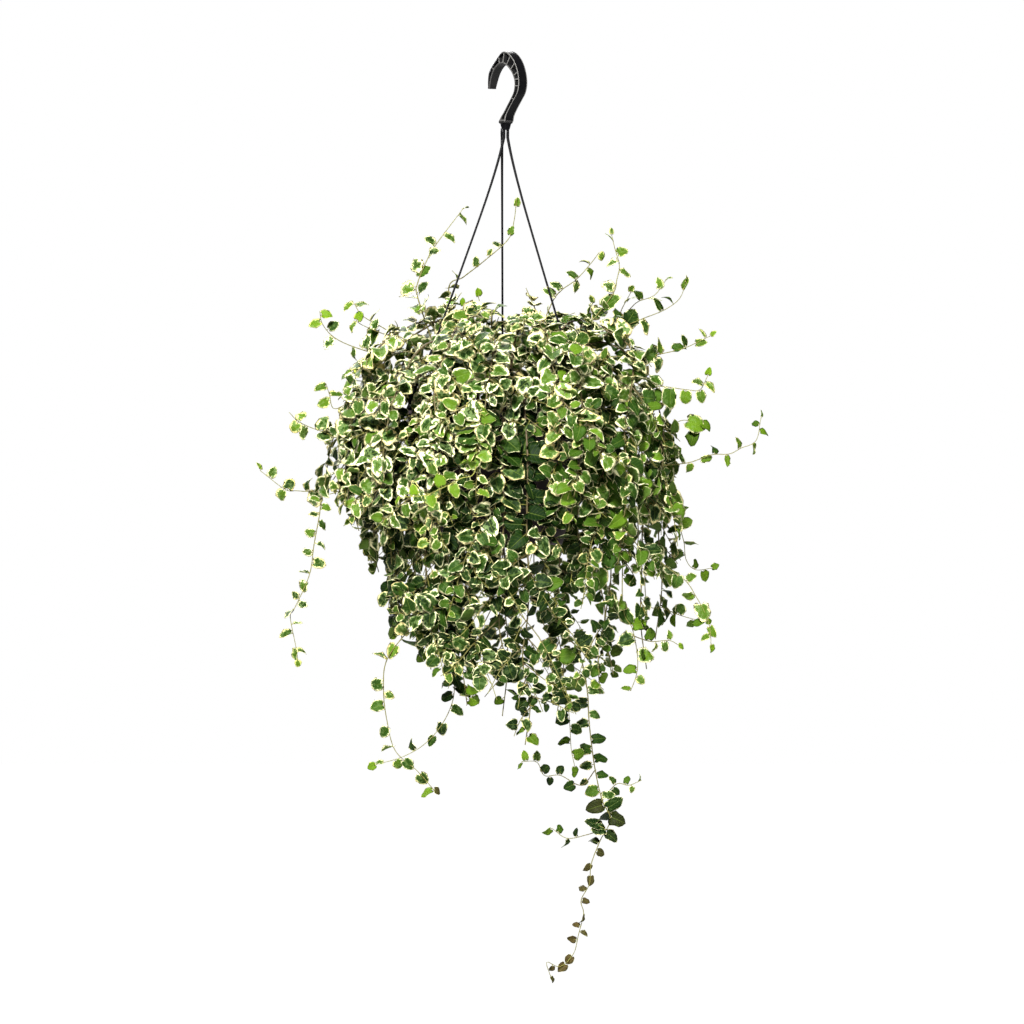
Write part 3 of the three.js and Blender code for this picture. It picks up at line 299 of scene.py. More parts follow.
def round_rods(lines, radii, sides=8):
    """Tubes along many lines at once: lines is (rods x stations x 3), radii matches it.
    The section's first axis is a fixed vector least aligned with each line, made square
    to the tangent."""
    lines = np.asarray(lines, float)
    t = np.gradient(lines, axis=1)
    t /= np.linalg.norm(t, axis=2, keepdims=True) + 1e-12
    spread = np.einsum("nsi,nsj->nij", t, t)
    ref = np.linalg.eigh(spread)[1][:, :, 0][:, None, :]
    a = ref - (ref * t).sum(2, keepdims=True) * t
    a /= np.linalg.norm(a, axis=2, keepdims=True) + 1e-12
    b = np.cross(t, a)
    w = np.linspace(0, 2 * np.pi, sides, endpoint=False)
    r = np.broadcast_to(radii, lines.shape[:2])[:, :, None, None]
    ring = (lines[:, :, None, :] + r * (np.cos(w)[None, None, :, None] * a[:, :, None, :]
                                        + np.sin(w)[None, None, :, None] * b[:, :, None, :]))
    n, m = lines.shape[:2]
    quads = bar_quads(m, sides)[None] + (np.arange(n) * m * sides)[:, None, None]
    return ring.reshape(-1, 3), quads.reshape(-1, 4)


for name, (degrees, x, y) in STRAPS.items():
    w = math.radians(degrees)
    end = np.array([POT_X + LUG_R * math.cos(w), LUG_R * math.sin(w)])
    t = np.linspace(0, 1, 60)
    out = t - STRAP_SAG * (1 - (1 - 2 * t) ** 4)
    line = np.stack([x + (end[0] - x) * out, y + (end[1] - y) * out, STRAP_TOP - STRAP_DROP * t], 1)
    neck = [[x, y, -77.0], [x * 1.03, y * 1.03, -82]]
    line = np.vstack([neck, line, [[*end, z] for z in PIN_Z]])
    radius = np.r_[1.7, 1.8, 1.25 + 0.5 * np.exp(-t * 7) + 0.5 * np.exp(-(1 - t) * 14), PIN_R]
    verts, quads = round_rods(line[None] * MM, radius[None] * MM, 12)
    strap = mesh_piece("hanger_" + name, verts, quads, materials=[BLACK_PLASTIC])
    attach(strap, "root")
    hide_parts(name)

# Pot
# A tapered, thin-walled pot of dark taupe plastic, with a rolled rim, a stepped base,
# four drain holes and three lugs that the straps clip into.

# Heights and radii of the wall, the floor, its drain holes, and the lugs' sections.
POT_RIM_Z, POT_BASE_Z, POT_RIM_R, POT_BASE_R, POT_WALL = -413.6, -577.0, 112.0, 76.0, 2.4
FLOOR_TOP, FLOOR_LOW, FLOOR_R = -573.0, -575.4, 60.0
DRAIN_AT, DRAIN_R = 38.0, 4.0
LUG_INWARD, LUG_ROUND = 12.0, 7.2
LUG_LOOPS = ((2.55, -420.4), (6.6, -420.8), (LUG_ROUND, -420.2), (LUG_ROUND, -417.0), (6.6, -416.4),
             (2.55, -416.8))
TAUPE_PLASTIC = moulded("taupe moulded plastic", dark=(0.030, 0.022, 0.023),
                        light=(0.052, 0.040, 0.041), rough=0.46, pit=0.5, edge=(0.08, 0.07, 0.07))


def around(profile, sides=128):
    """The mesh of an open profile of (radius, height) carried round the vertical axis."""
    w = np.linspace(0, 2 * np.pi, sides, endpoint=False)
    p = np.asarray(profile, float)
    ring = np.stack([p[:, None, 0] * np.cos(w), p[:, None, 0] * np.sin(w),
                     np.repeat(p[:, None, 1], sides, 1)], -1)
    return ring.reshape(-1, 3), ring_quads(len(p), sides)


def holed_floor(radius, top, low):
    """A round floor in four quarters. In each, straight rows run from the edge of the
    drain hole to the quarter's two straight sides and arc, above and below."""
    w = np.linspace(0, np.pi / 2, 33)
    arc = radius * np.stack([np.cos(w), np.sin(w)], 1)
    leg = np.linspace(0, 1, 8, endpoint=False)[:, None]
    rim = np.vstack([leg * arc[0], arc, (arc[-1] * (1 - leg))[1:]])
    middle = np.array([DRAIN_AT, DRAIN_AT]) * math.sqrt(0.5)
    turn = np.arctan2(*(rim - middle).T[::-1])
    hole = middle + DRAIN_R * np.stack([np.cos(turn), np.sin(turn)], 1)
    t = np.array([0, 0.12, 0.4, 0.7, 1.0])[:, None, None]
    rows = hole * (1 - t) + rim * t
    n, k = rows.shape[:2]
    sheet = lambda h: np.concatenate([rows, np.full((n, k, 1), h)], 2).reshape(-1, 3)
    down, j = ring_quads(n, k), np.arange(k)
    wall = np.stack([j, (j + 1) % k, (j + 1) % k + n * k, j + n * k], 1)
    verts, quads = np.vstack([sheet(top), sheet(low)]), np.vstack([down[:, ::-1], down + n * k, wall])
    return joined([(spun(verts, c, s), quads) for c, s in ((1, 0), (0, 1), (-1, 0), (0, -1))])


def welded(verts, quads):
    """The same mesh with its coinciding vertices made one."""
    _, first, back = np.unique(np.round(verts, 3), axis=0, return_index=True, return_inverse=True)
    return verts[first], back.reshape(-1)[quads]


def pot_wall():
    """Outer wall with two faint raised bands, rolled rim, inner wall and holed floor, with
    lugs. A lug is a ring of rounded section, drawn out towards the pot so that it sinks
    into the rim."""
    slope = (POT_RIM_R - POT_BASE_R) / (POT_RIM_Z - POT_BASE_Z)
    inner = lambda z: POT_BASE_R - POT_WALL + (z - POT_BASE_Z) * slope
    z = np.linspace(-571, -425, 26)
    outer = np.stack([POT_BASE_R + (z - POT_BASE_Z) * slope, z], 1)
    outer[:, 0] += 0.5 * (np.abs(z + 560) < 3) + 0.35 * (np.abs(z + 440) < 4)
    foot = [[FLOOR_R, FLOOR_LOW], [66.0, -575.4], [67.2, -577.0], [73.2, -577.0], [75.4, -576.2],
            [76.3, -574.0]]
    top = [[110.6, -423.4], [112.4, -423.0], [114.6, -422.2], [115.5, -420.4], [115.7, -418.0],
           [115.4, -415.8], [114.4, -414.2], [112.9, -413.6], [111.2, -413.8], [110.2, -415.0]]
    down = [[inner(h), h] for h in (-418, -430, -460, -500, -540, -568)]
    wall = around(np.vstack([foot, outer, top, down, [[70.0, -572.6], [FLOOR_R, FLOOR_TOP]]]))
    parts = [welded(*joined([wall, holed_floor(FLOOR_R, FLOOR_TOP, FLOOR_LOW)]))]
    k = np.linspace(0, 2 * np.pi, 40, endpoint=False)
    rim = np.stack([np.cos(k), np.sin(k)], 1)
    reach = np.where(rim[:, 0] < 0, LUG_INWARD, LUG_ROUND)
    ring = lambda r, h: np.stack([LUG_R + rim[:, 0] * (reach * r / LUG_ROUND if r > 3 else r),
                                  rim[:, 1] * r, np.full(40, h)], 1)
    lug = np.vstack([ring(r, h) for r, h in LUG_LOOPS])
    for degrees, _, _ in STRAPS.values():
        w = math.radians(degrees)
        parts.append((spun(lug, math.cos(w), math.sin(w)), ring_quads(len(LUG_LOOPS), 40, loop=True)))
    return joined(parts)


verts, quads = pot_wall()
pot = mesh_piece("hanging_pot", (verts + [POT_X, 0, 0]) * MM, quads, materials=[TAUPE_PLASTIC])
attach(pot, "root")
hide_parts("pot")

# Potting soil
# Dark peat mix with fibres and a few white perlite grains, loose and lumpy. It fills
# the pot down to its floor, is heaped a little in the middle, and holds every stem.
SOIL_Z, SOIL_R = -424.0, 106.8
# Its sides downwards: share of SOIL_R and height.
SOIL_SIDE = np.array([[1, -427.6], [0.86, -500], [0.69, -572.4], [0.3, -572.6], [0.01, -572.6]])


def soil_heap(rings=46, sides=120):
    """Height over a disc: a low dome plus three crossed waves and seeded crumbs that
    fade at the wall; below it the sides follow the pot down to its floor."""
    rng = np.random.default_rng(41)
    r = SOIL_R * np.linspace(0.012, 1, rings) ** 0.8
    w = np.linspace(0, 2 * np.pi, sides, endpoint=False)
    x, y = r[:, None] * np.cos(w), r[:, None] * np.sin(w)
    lump = (np.sin(x * 0.11 + 1) * np.cos(y * 0.13) + 0.7 * np.sin(x * 0.31 + y * 0.23)
            + 0.6 * np.sin(y * 0.47 - x * 0.19 + 2))
    fade = np.clip((SOIL_R - r) / 14, 0, 1)[:, None]
    z = SOIL_Z - 3 + fade * (4.2 + 1.5 * lump + rng.normal(0, 0.9, x.shape))
    top = np.stack([x, y, z], -1)[::-1]
    radius = SOIL_SIDE[:, :1] * SOIL_R
    low = np.stack([radius * np.cos(w), radius * np.sin(w), np.repeat(SOIL_SIDE[:, 1:], sides, 1)], -1)
    return closed_sweep(np.concatenate([low[::-1], top]))


def peat():
    """Near-black brown crumbs with paler fibres and a few white perlite grains."""
    material, tree, shader = new_material("peat mix")
    where = put(tree, "TexCoord")["Object"]
    crumb = put(tree, "TexNoise", {"Vector": where, "Scale": 260, "Detail": 8})["Fac"]
    grit = put(tree, "TexVoronoi", {"Vector": where, "Scale": 160})["Distance"]
    fibre = put(tree, "MapRange", {"Value": crumb, "From Min": 0.35, "From Max": 0.72})["Result"]
    grain = put(tree, "MapRange", {"Value": grit, "From Min": 0.16, "From Max": 0.10})["Result"]
    brown = blend(tree, fibre, (0.006, 0.004, 0.003), (0.060, 0.036, 0.021))
    lumps = {"Height": crumb, "Strength": 0.9, "Distance": 1.5 * MM}
    wire(tree, shader, {"Base Color": blend(tree, grain, brown, (0.42, 0.40, 0.36)),
                        "Roughness": 0.95, "Normal": put(tree, "Bump", lumps)["Normal"]})
    return material


verts, quads = soil_heap()
soil = mesh_piece("potting_soil", (verts + [POT_X, 0, 0]) * MM, quads, materials=[peat()])
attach(soil, "root")
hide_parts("soil")

# Upper sprays
# Wiry shoots that climb from the crown between the straps. The stems are thin and
# brown, green towards the tip, with small cream-edged leaves set left and right.

# A blade: places along it, its half widths there, places across it and its thickness.
BLADE_U = np.array([0.0, 0.08, 0.25, 0.47, 0.69, 0.88, 1.0])
BLADE_W = np.array([0.44, 0.83, 1.02, 0.99, 0.79, 0.44, 0.04])
BLADE_V = np.array([-1.0, -0.6, 0.0, 0.6, 1.0])
BLADE_THICK = 0.4 * MM
# Every stem stands upright in the soil between these two heights, in millimetres. The
# measures that follow are in metres.
FOOT_Z, COLLAR_Z = -440, -414
# Where the mass opens on inner leaves darkened as painted shade: middle x, half width,
# middle z, half height, and the y behind which leaves stay.
OPENING = (0.022, 0.021, -0.497, 0.060, -0.128)
# Gaps to see through, low in the mass: middle x and z, half width and half height.
GAPS = np.array([
    [0.028, -0.597, 0.013, 0.018], [-0.089, -0.598, 0.011, 0.017], [-0.013, -0.672, 0.011, 0.013],
    [0.038, -0.678, 0.016, 0.018], [-0.026, -0.742, 0.022, 0.011]])
# The left strap's ends, and the bare lane before it: its half width, its lower end and
# how far behind the strap it reaches.
LEFT_STRAP = np.array([[-0.0012, -0.0034, -0.088], [-0.1138, -0.0568, -0.404]])
LANE_HALF, LANE_END, LANE_BEHIND = 0.011, -0.352, 0.004
# How far twigs reach at each height z: to the left x, the right x, and MASS_DEPTH in y.
MASS_SIDES = np.array([
    [-0.82, 0.000, 0.100], [-0.76, -0.070, 0.115], [-0.70, -0.125, 0.165], [-0.66, -0.138, 0.222],
    [-0.60, -0.155, 0.215], [-0.57, -0.185, 0.210], [-0.52, -0.212, 0.202], [-0.43, -0.205, 0.198],
    [-0.38, -0.186, 0.176], [-0.33, -0.155, 0.142], [-0.30, -0.110, 0.115]])
MASS_DEPTH = 0.200
# By the rule a leaf leans within these ranges along its stem, sideways and outward, and
# has these shares of the full size and this length of stalk.
LEAF_ALONG, LEAF_ASIDE, LEAF_OUT = (-0.15, 0.60), (0.6, 1.1), (0.1, 0.7)
LEAF_SIZES, LEAF_STALKS = (0.60, 1.22), (0.0028, 0.0058)
# The same for a side twig, with its bend down or up and what is left of one cut short.
TWIG_ALONG, TWIG_ASIDE, TWIG_OUT = (0.2, 0.8), (0.55, 1.05), (0.25, 0.85)
TWIG_REACHES, TWIG_BENDS, TWIG_SHORT = (0.35, 1.50), (-0.6, 0.1), 0.35
TWIG_LEAF_START, TWIG_LEAF_STEP = 0.007, 0.0088
# How far blades fold, curl, wave and twist, and their width as a share of the length.
FOLDS, CURLS, WAVES, TWIST_SPREAD, WIDTHS = (0.02, 0.50), (0.05, 1.25), (0.02, 0.095), 0.22, (0.70, 1.0)
# How much tone and cream differ from leaf to leaf.
LOOK_SPREAD = 0.27
# Side shoots: radius at the foot and at the tip in millimetres, and greenness at both.
FREE_BRANCH, FREE_TWIG = (0.7, 0.38, 0.1, 0.7), (0.7, 0.38, 0.2, 0.7)
# A leaf's stalk: radii from the stem to the blade, its sag and how far it runs into it.
STALK_RADII = np.array([0.55, 0.45, 0.35]) * MM
STALK_SAG, STALK_INTO_BLADE = 0.7 * MM, 1.2 * MM
# Leaf green from shade to light, grey-green patches, veins, the lower face, the cream
# margin fresh and aged, young growth, dry leaf, bark and young stem.
DEEP_GREEN, MID_GREEN, BRIGHT_GREEN = (0.003, 0.013, 0.0015), (0.018, 0.052, 0.004), (0.082, 0.158, 0.008)
GREY_GREEN, VEIN_GREEN, DULL_GREEN = (0.155, 0.235, 0.075), (0.22, 0.31, 0.05), (0.075, 0.115, 0.02)
FRESH_CREAM, AGED_CREAM = (0.96, 0.92, 0.56), (0.76, 0.63, 0.27)
YOUNG_GREEN, YOUNG_MARGIN = (0.115, 0.215, 0.006), (0.50, 0.54, 0.05)
DRY_DARK, DRY_LIGHT = (0.016, 0.014, 0.003), (0.12, 0.078, 0.026)
BARK_DARK, BARK_LIGHT = (0.026, 0.015, 0.008), (0.090, 0.052, 0.026)
STEM_GREEN, STEM_LIGHT = (0.16, 0.16, 0.015), (0.30, 0.31, 0.04)


def blade_sheets(root, along, normal, length, width, shape):
    """Closed leaf blades, all at once. Over u from base to tip and v across, the half
    width is BLADE_W(u)*width/2, made uneven by 0.06*sin(8u + 3 phase) and 0.07*sin(17u
    + 5 phase), and the base lobes reach back by 0.15*(1-u)^4*|v|^1.6. The blade bends
    along a circle of angle `curl`, folds up by `fold`*|x|, twists by `twist`*x*u, and
    its margin waves by `wave`*sin(8.8u + phase)*v^2. The lower face lies BLADE_THICK
    below. Gives the vertices, the quads, each vertex's (u, v, distance from the edge) and
    each corner's (u, v), first of the upper face and then of the lower."""
    fold, curl, wave, phase, twist = (shape[k][:, None, None] for k in range(5))
    u, v = BLADE_U[None, :, None], BLADE_V[None, None, :]
    size, wide = length[:, None, None], width[:, None, None] / 2
    x = v * wide * BLADE_W[None, :, None] * (1 + 0.09 * np.sin(phase) * np.sign(v))
    x = x * (1 + (0.06 * np.sin(8 * u + 3 * phase) + 0.07 * np.sin(17 * u + 5 * phase)) * np.abs(v))
    q = u - 0.15 * np.abs(v) ** 1.6 * (1 - u) ** 4
    s = size * np.sin(curl * q) / curl
    h = (-size * (1 - np.cos(curl * q)) / curl + fold * np.abs(x)
         + wave * size * v ** 2 * np.sin(8.8 * u + phase) + twist * x * u)
    across = np.cross(normal, along)
    grid = (root[:, None, None] + along[:, None, None] * s[..., None]
            + across[:, None, None] * x[..., None] + normal[:, None, None] * h[..., None])
    n, r, c = grid.shape[:3]
    below = grid[:, 1:-1, 1:-1] - normal[:, None, None] * BLADE_THICK
    verts = np.concatenate([grid.reshape(n, -1, 3), below.reshape(n, -1, 3)], 1)
    per = verts.shape[1]
    index = np.arange(r * c).reshape(r, c)
    under = index.copy()
    under[1:-1, 1:-1] = np.arange(r * c, per).reshape(r - 2, c - 2)
    quad = lambda g: np.stack([g[:-1, :-1], g[:-1, 1:], g[1:, 1:], g[1:, :-1]], -1).reshape(-1, 4)
    sheets = np.vstack([quad(index)[:, ::-1], quad(under)])
    quads = sheets[None] + (np.arange(n) * per)[:, None, None]
    edge = np.minimum(1 - np.abs(v), np.minimum((1 - u) * 1.9, u * 3.2 + 0.12)) * np.ones((1, r, c))
    flat = np.stack([np.broadcast_to(u, (1, r, c)), np.broadcast_to(v / 2 + 0.5, (1, r, c)), edge], -1)[0]
    place = np.concatenate([flat.reshape(-1, 3), flat[1:-1, 1:-1].reshape(-1, 3)])
    return verts.reshape(-1, 3), quads.reshape(-1, 4), place, place[sheets][..., :2]


def unit(v):
    """Vectors of length one."""
    return v / (np.linalg.norm(v, axis=-1, keepdims=True) + 1e-12)


def square_to(v, along):
    """The part of v square to `along`, of length one."""
    return unit(v - (v * along).sum(-1, keepdims=True) * along)


def ramp(v, a, b):
    """0 at a, 1 at b, straight between."""
    return np.clip((v - a) / (b - a), 0, 1)


def span(share, ends):
    """The place at this share between two ends."""
    return ends[0] + (ends[1] - ends[0]) * share


def outward(p):
    """Away from the pot's axis, and upward on the crown."""
    out = np.stack([(p[:, 0] - POT_X * MM) * 5, p[:, 1] * 5,
                    np.clip((p[:, 2] + 0.430) / 0.120, -0.15, 1)], 1)
    return unit(out)


def in_gap(p):
    """The gaps in the low part of the mass that one sees through from the front."""
    return (np.abs(p[:, None, ::2] - GAPS[:, :2]) < GAPS[:, 2:]).all(2).any(1)


def in_opening(p):
    """Where the leaf mass opens at the front on inner leaves darkened as painted shade,
    and the lane in front of the left strap."""
    x, y, z = p.T
    middle_x, half_width, middle_z, half_height, depth = OPENING
    inside = (np.abs(x - middle_x) < half_width) & (np.abs(z - middle_z) < half_height) & (y < depth)
    top, end = LEFT_STRAP
    strap_x, strap_y = (top[k] + (end[k] - top[k]) * (z - top[2]) / (end[2] - top[2]) for k in (0, 1))
    lane = (np.abs(x - strap_x) < LANE_HALF) & (y < strap_y + LANE_BEHIND) & (z > LANE_END)
    return inside | lane


def bare_share(p):
    """The share of leaves missing at the airy outer parts of the mass: high on the left,
    on the right and low at both sides and in the middle."""
    x, z = p[:, 0], p[:, 2]
    low_right = 0.45 * ramp(x, 0.12, 0.16) * ramp(z, -0.53, -0.57)
    high_left = 0.4 * ramp(x, -0.09, -0.13) * ramp(z, -0.385, -0.36)
    right = 0.25 * ramp(x, 0.13, 0.17) * ramp(z, -0.53, -0.51)
    low_left = 0.6 * ramp(x, -0.15, -0.17) * ramp(z, -0.57, -0.60)
    low_middle = 0.15 * ramp(x, -0.03, 0.03) * ramp(z, -0.60, -0.64)
    return np.maximum.reduce([low_right, high_left, right, low_left, low_middle])


def run_length(line):
    """How long a line is."""
    return np.linalg.norm(np.diff(line, axis=0), axis=1).sum()


def on_line(line, s):
    """Points and unit tangents at the lengths s of a line."""
    run = np.r_[0, np.cumsum(np.linalg.norm(np.diff(line, axis=0), axis=1))]
    at = lambda a: np.stack([np.interp(s, run, a[:, k]) for k in range(3)], 1)
    return at(line), unit(at(np.gradient(line, axis=0)))


def hands(count, rng):
    """Left and right in turn, 1 and -1, from either side first."""
    return np.where((np.arange(count) + rng.integers(2)) % 2 == 0, 1.0, -1.0)[:, None]


def youth_at(whole, s):
    """How far from the tip: 0 there and 1 from 70 mm or 0.4 of the stem on."""
    return np.clip((whole - s) / min(0.070, 0.4 * whole), 0, 1)


def leaf_run(line, start, step, size, rng, tip=0.5):
    """Leaves left and right in turn along a stem. Each leans sideways and outward, faces
    outward, up and a little to the light in front, and grows smaller near the tip and
    low in the mass."""
    whole = run_length(line)
    count = max(0, int((whole - start) / step))
    if count == 0:
        return None
    s = start + step * (np.arange(count) + rng.uniform(-0.3, 0.3, count))
    p, t = on_line(line, s)
    out = outward(p)
    side = unit(np.cross(t, out)) * hands(count, rng)
    r = rng.uniform(0, 1, (count, 6))
    along = t * span(r[:, :1], LEAF_ALONG) + side * span(r[:, 1:2], LEAF_ASIDE)
    along += out * span(r[:, 2:3], LEAF_OUT)
    along[:, 2] -= 0.35 * r[:, 3]
    along = unit(along)
    high = ramp(p[:, 2], -0.66, -0.46)
    level = unit(out * [1, 1, 0.35])
    face = level * (0.85 - 0.25 * high[:, None]) + rng.normal(0, 0.50, (count, 3))
    face += np.stack([0 * high, -0.3 * high, 0.15 + 0.5 * high], 1)
    near = youth_at(whole, s)
    length = size * span(r[:, 4], LEAF_SIZES) * span(near, (tip, 1))
    length *= 1 - 0.12 * ramp(p[:, 2], -0.66, -0.71)
    length *= 1 - 0.24 * ramp(p[:, 2], -0.59, -0.64) * ramp(p[:, 0], -0.025, 0.025)
    stay = ~in_opening(p) & ~in_gap(p) & (rng.uniform(0, 1, count) > 0.6 * bare_share(p))
    leaves = dict(root=p, along=along, normal=square_to(face, along), length=length,
                  stalk=span(r[:, 5], LEAF_STALKS), young=1 - near)
    return {k: v[stay] for k, v in leaves.items()}


def listed_leaves(line, listed, rng, scale=0.80):
    """Leaves whose middles are known by x and z: each springs from its stem just before
    the nearest point, and faces the front, a little up and outward."""
    at = np.asarray(listed, float) * MM
    size = at[:, 2] * scale
    gap = np.hypot(line[None, :, 0] - at[:, :1], line[None, :, 2] - at[:, 1:2])
    whole, last = run_length(line), len(line) - 1
    back = (0.45 * size - gap.min(1)) / whole * last
    k = gap.argmin(1)
    k = np.maximum(k - np.maximum(back, 0).astype(int), 0)
    root, t = line[k], unit(np.gradient(line, axis=0))[k]
    n = len(at)
    along = np.stack([at[:, 0], root[:, 1] + rng.uniform(-0.2, 0.2, n) * size, at[:, 1]], 1) - root
    reach = np.linalg.norm(along, axis=1)
    along = unit(along + t * (0.5 * size * (reach < 0.3 * size))[:, None])
    face = np.array([0, -0.7, 0.45]) + 0.45 * outward(root) + rng.normal(0, 0.45, (n, 3))
    return dict(root=root, along=along, normal=square_to(face, along), length=size,
                stalk=np.maximum(0.0022, reach - size * 0.53), young=1 - youth_at(whole, whole * k / last))


def side_twigs(line, start, step, reach, rng):
    """Short side shoots: each leaves the stem sideways and outward and bends down or
    up by g, -0.6 to 0.1 of its length, over its run: p + L(d q + g q^2). Those that
    would end beyond the leaf mass stay short, and some in bare parts are left out."""
    count = int((run_length(line) - start - 0.02) / step)
    if count < 1:
        return np.zeros((0, 9, 3))
    s = start + step * (np.arange(count) + rng.uniform(-0.35, 0.35, count))
    p, t = on_line(line, s)
    out = outward(p)
    side = unit(np.cross(t, out)) * hands(count, rng)
    r = rng.uniform(0, 1, (count, 4))
    d = unit(t * span(r[:, :1], TWIG_ALONG) + side * span(r[:, 1:2], TWIG_ASIDE)
             + out * span(r[:, 2:3], TWIG_OUT))
    q = np.linspace(0, 1, 9)[None, :, None]
    size = (reach * span(r[:, 3] ** 1.5, TWIG_REACHES))[:, None, None]
    drop = np.stack([0 * r[:, 0], 0 * r[:, 0], span(r[:, 2], TWIG_BENDS)], 1)[:, None]
    wave = np.sin(q * 7 + r[:, None, :1] * 6) * 0.03 * unit(np.cross(d, out))[:, None]
    twigs = p[:, None] + size * (d[:, None] * q + drop * q ** 2 + wave * q)
    tip = twigs[:, -1]
    left, right = (np.interp(tip[:, 2], MASS_SIDES[:, 0], MASS_SIDES[:, k]) for k in (1, 2))
    beyond = (tip[:, 0] < left) | (tip[:, 0] > right) | (np.abs(tip[:, 1]) > MASS_DEPTH)
    twigs = p[:, None] + (twigs - p[:, None]) * np.where(beyond, TWIG_SHORT, 1.0)[:, None, None]
    stay = rng.uniform(0, 1, count) > 1.2 * bare_share(tip)
    return twigs[stay & ~in_opening(twigs.reshape(-1, 3)).reshape(-1, 9).any(1)]


def together(groups):
    """Rows of leaves as one."""
    groups = [g for g in groups if g is not None]
    return {k: np.concatenate([g[k] for g in groups]) for k in groups[0]}


def maths(tree, kind, *values, clamp=False):
    """The result of one sum on sockets or numbers."""
    return put(tree, "Math", dict(enumerate(values)), operation=kind, use_clamp=clamp)[0]


def smooth_mask(tree, value, low, high):
    """Smooth mask: 0 at low and 1 at high, which may be sockets or numbers."""
    ends = {"Value": value, "From Min": low, "From Max": high}
    return put(tree, "MapRange", ends, interpolation_type="SMOOTHSTEP")["Result"]


def leaf_material():
    """Fig leaf: a green middle with grey-green patches inside an uneven cream margin.
    The margin's reach is cream*noise in from the edge. Veins run forward from the
    midrib; the lower face is paler and duller; young leaves are yellow-green, and
    where the tone falls below 0 the leaf is dry and brown."""
    material, tree, shader = new_material("variegated fig leaf")
    place, look, lower = (put(tree, "Attribute", attribute_name=name)
                          for name in ("blade_place", "blade_look", "lower_face"))
    u, v, edge = put(tree, "SeparateColor", {"Color": place["Color"]}).values()
    tone, cream, young = put(tree, "SeparateColor", {"Color": look["Color"]}).values()
    seed, under = look["Alpha"], lower["Fac"]
    m, times = partial(maths, tree), partial(maths, tree, "MULTIPLY")
    mask, mix = partial(smooth_mask, tree), partial(blend, tree)
    spot = {"X": times(u, 2.6), "Y": times(v, 2.2), "Z": times(seed, 91.0)}
    where = put(tree, "CombineXYZ", spot)["Vector"]
    cloud = put(tree, "TexNoise", {"Vector": where, "Scale": 1.6, "Detail": 3})["Fac"]
    fleck = put(tree, "TexNoise", {"Vector": where, "Scale": 4.6, "Detail": 4})["Fac"]
    rough_edge = times(cream, m("SUBTRACT", times(cloud, 2.4), 0.68))
    reach = m("ADD", times(rough_edge, 0.70), times(m("SUBTRACT", fleck, 0.5), 0.26))
    within = lambda reach, soft: mask(edge, m("ADD", reach, soft), m("SUBTRACT", reach, soft))
    white = within(reach, 0.035)
    grey = within(m("ADD", reach, times(times(fleck, cream), 0.62)), 0.05)
    green = mix(times(tone, 2.0, clamp=True), DEEP_GREEN, MID_GREEN)
    green = mix(m("SUBTRACT", times(tone, 2.0), 1.0, clamp=True), green, BRIGHT_GREEN)
    green = mix(times(young, young), green, YOUNG_GREEN)
    green = mix(times(tone, -1.0, clamp=True), green, mix(cloud, DRY_DARK, DRY_LIGHT))
    grey = m("MAXIMUM", grey, times(mask(cloud, 0.52, 0.60), times(cream, 0.9)))
    middle = mix(times(grey, 0.62), green, GREY_GREEN)
    away = m("ABSOLUTE", m("SUBTRACT", times(v, 2.0), 1.0))
    rib_half, vein_slant, veins = 0.075, 0.34, 6.0
    forward = times(m("SUBTRACT", u, times(away, vein_slant)), veins)
    vein = mask(m("ABSOLUTE", m("SUBTRACT", m("FRACT", forward), 0.5)), 0.40, 0.5)
    lines = m("MAXIMUM", mask(away, rib_half, 0.0), times(vein, 0.45))
    middle = mix(times(lines, 0.28), middle, VEIN_GREEN)
    cream_tint = mix(times(seed, seed), FRESH_CREAM, AGED_CREAM)
    margin = mix(times(young, 0.9, clamp=True), cream_tint, YOUNG_MARGIN)
    face = mix(white, middle, margin)
    relief = {"Height": m("SUBTRACT", times(fleck, 1.6), lines), "Strength": 0.7, "Distance": 0.6 * MM}
    wire(tree, shader, {
        "Base Color": mix(under, face, mix(0.40, face, DULL_GREEN)),
        "Roughness": m("ADD", 0.48, times(under, 0.2)), "Specular IOR Level": 0.07,
        "Normal": put(tree, "Bump", relief)["Normal"]})
    return material


def stem_material():
    """Fig stem: brown bark with reddish and pale streaks, green and smooth when young."""
    material, tree, shader = new_material("fig stem")
    look = put(tree, "Attribute", attribute_name="blade_look")["Color"]
    green = put(tree, "SeparateColor", {"Color": look})["Blue"]
    where = put(tree, "TexCoord")["Object"]
    streak = put(tree, "TexNoise", {"Vector": where, "Scale": 240, "Detail": 4})["Fac"]
    bark = blend(tree, streak, BARK_DARK, BARK_LIGHT)
    fresh = blend(tree, streak, STEM_GREEN, STEM_LIGHT)
    ridges = {"Height": streak, "Strength": 0.6, "Distance": 0.3 * MM}
    wire(tree, shader, {"Base Color": blend(tree, green, bark, fresh), "Roughness": 0.6,
                        "Normal": put(tree, "Bump", ridges)["Normal"]})
    return material


LEAF, STEM = leaf_material(), stem_material()


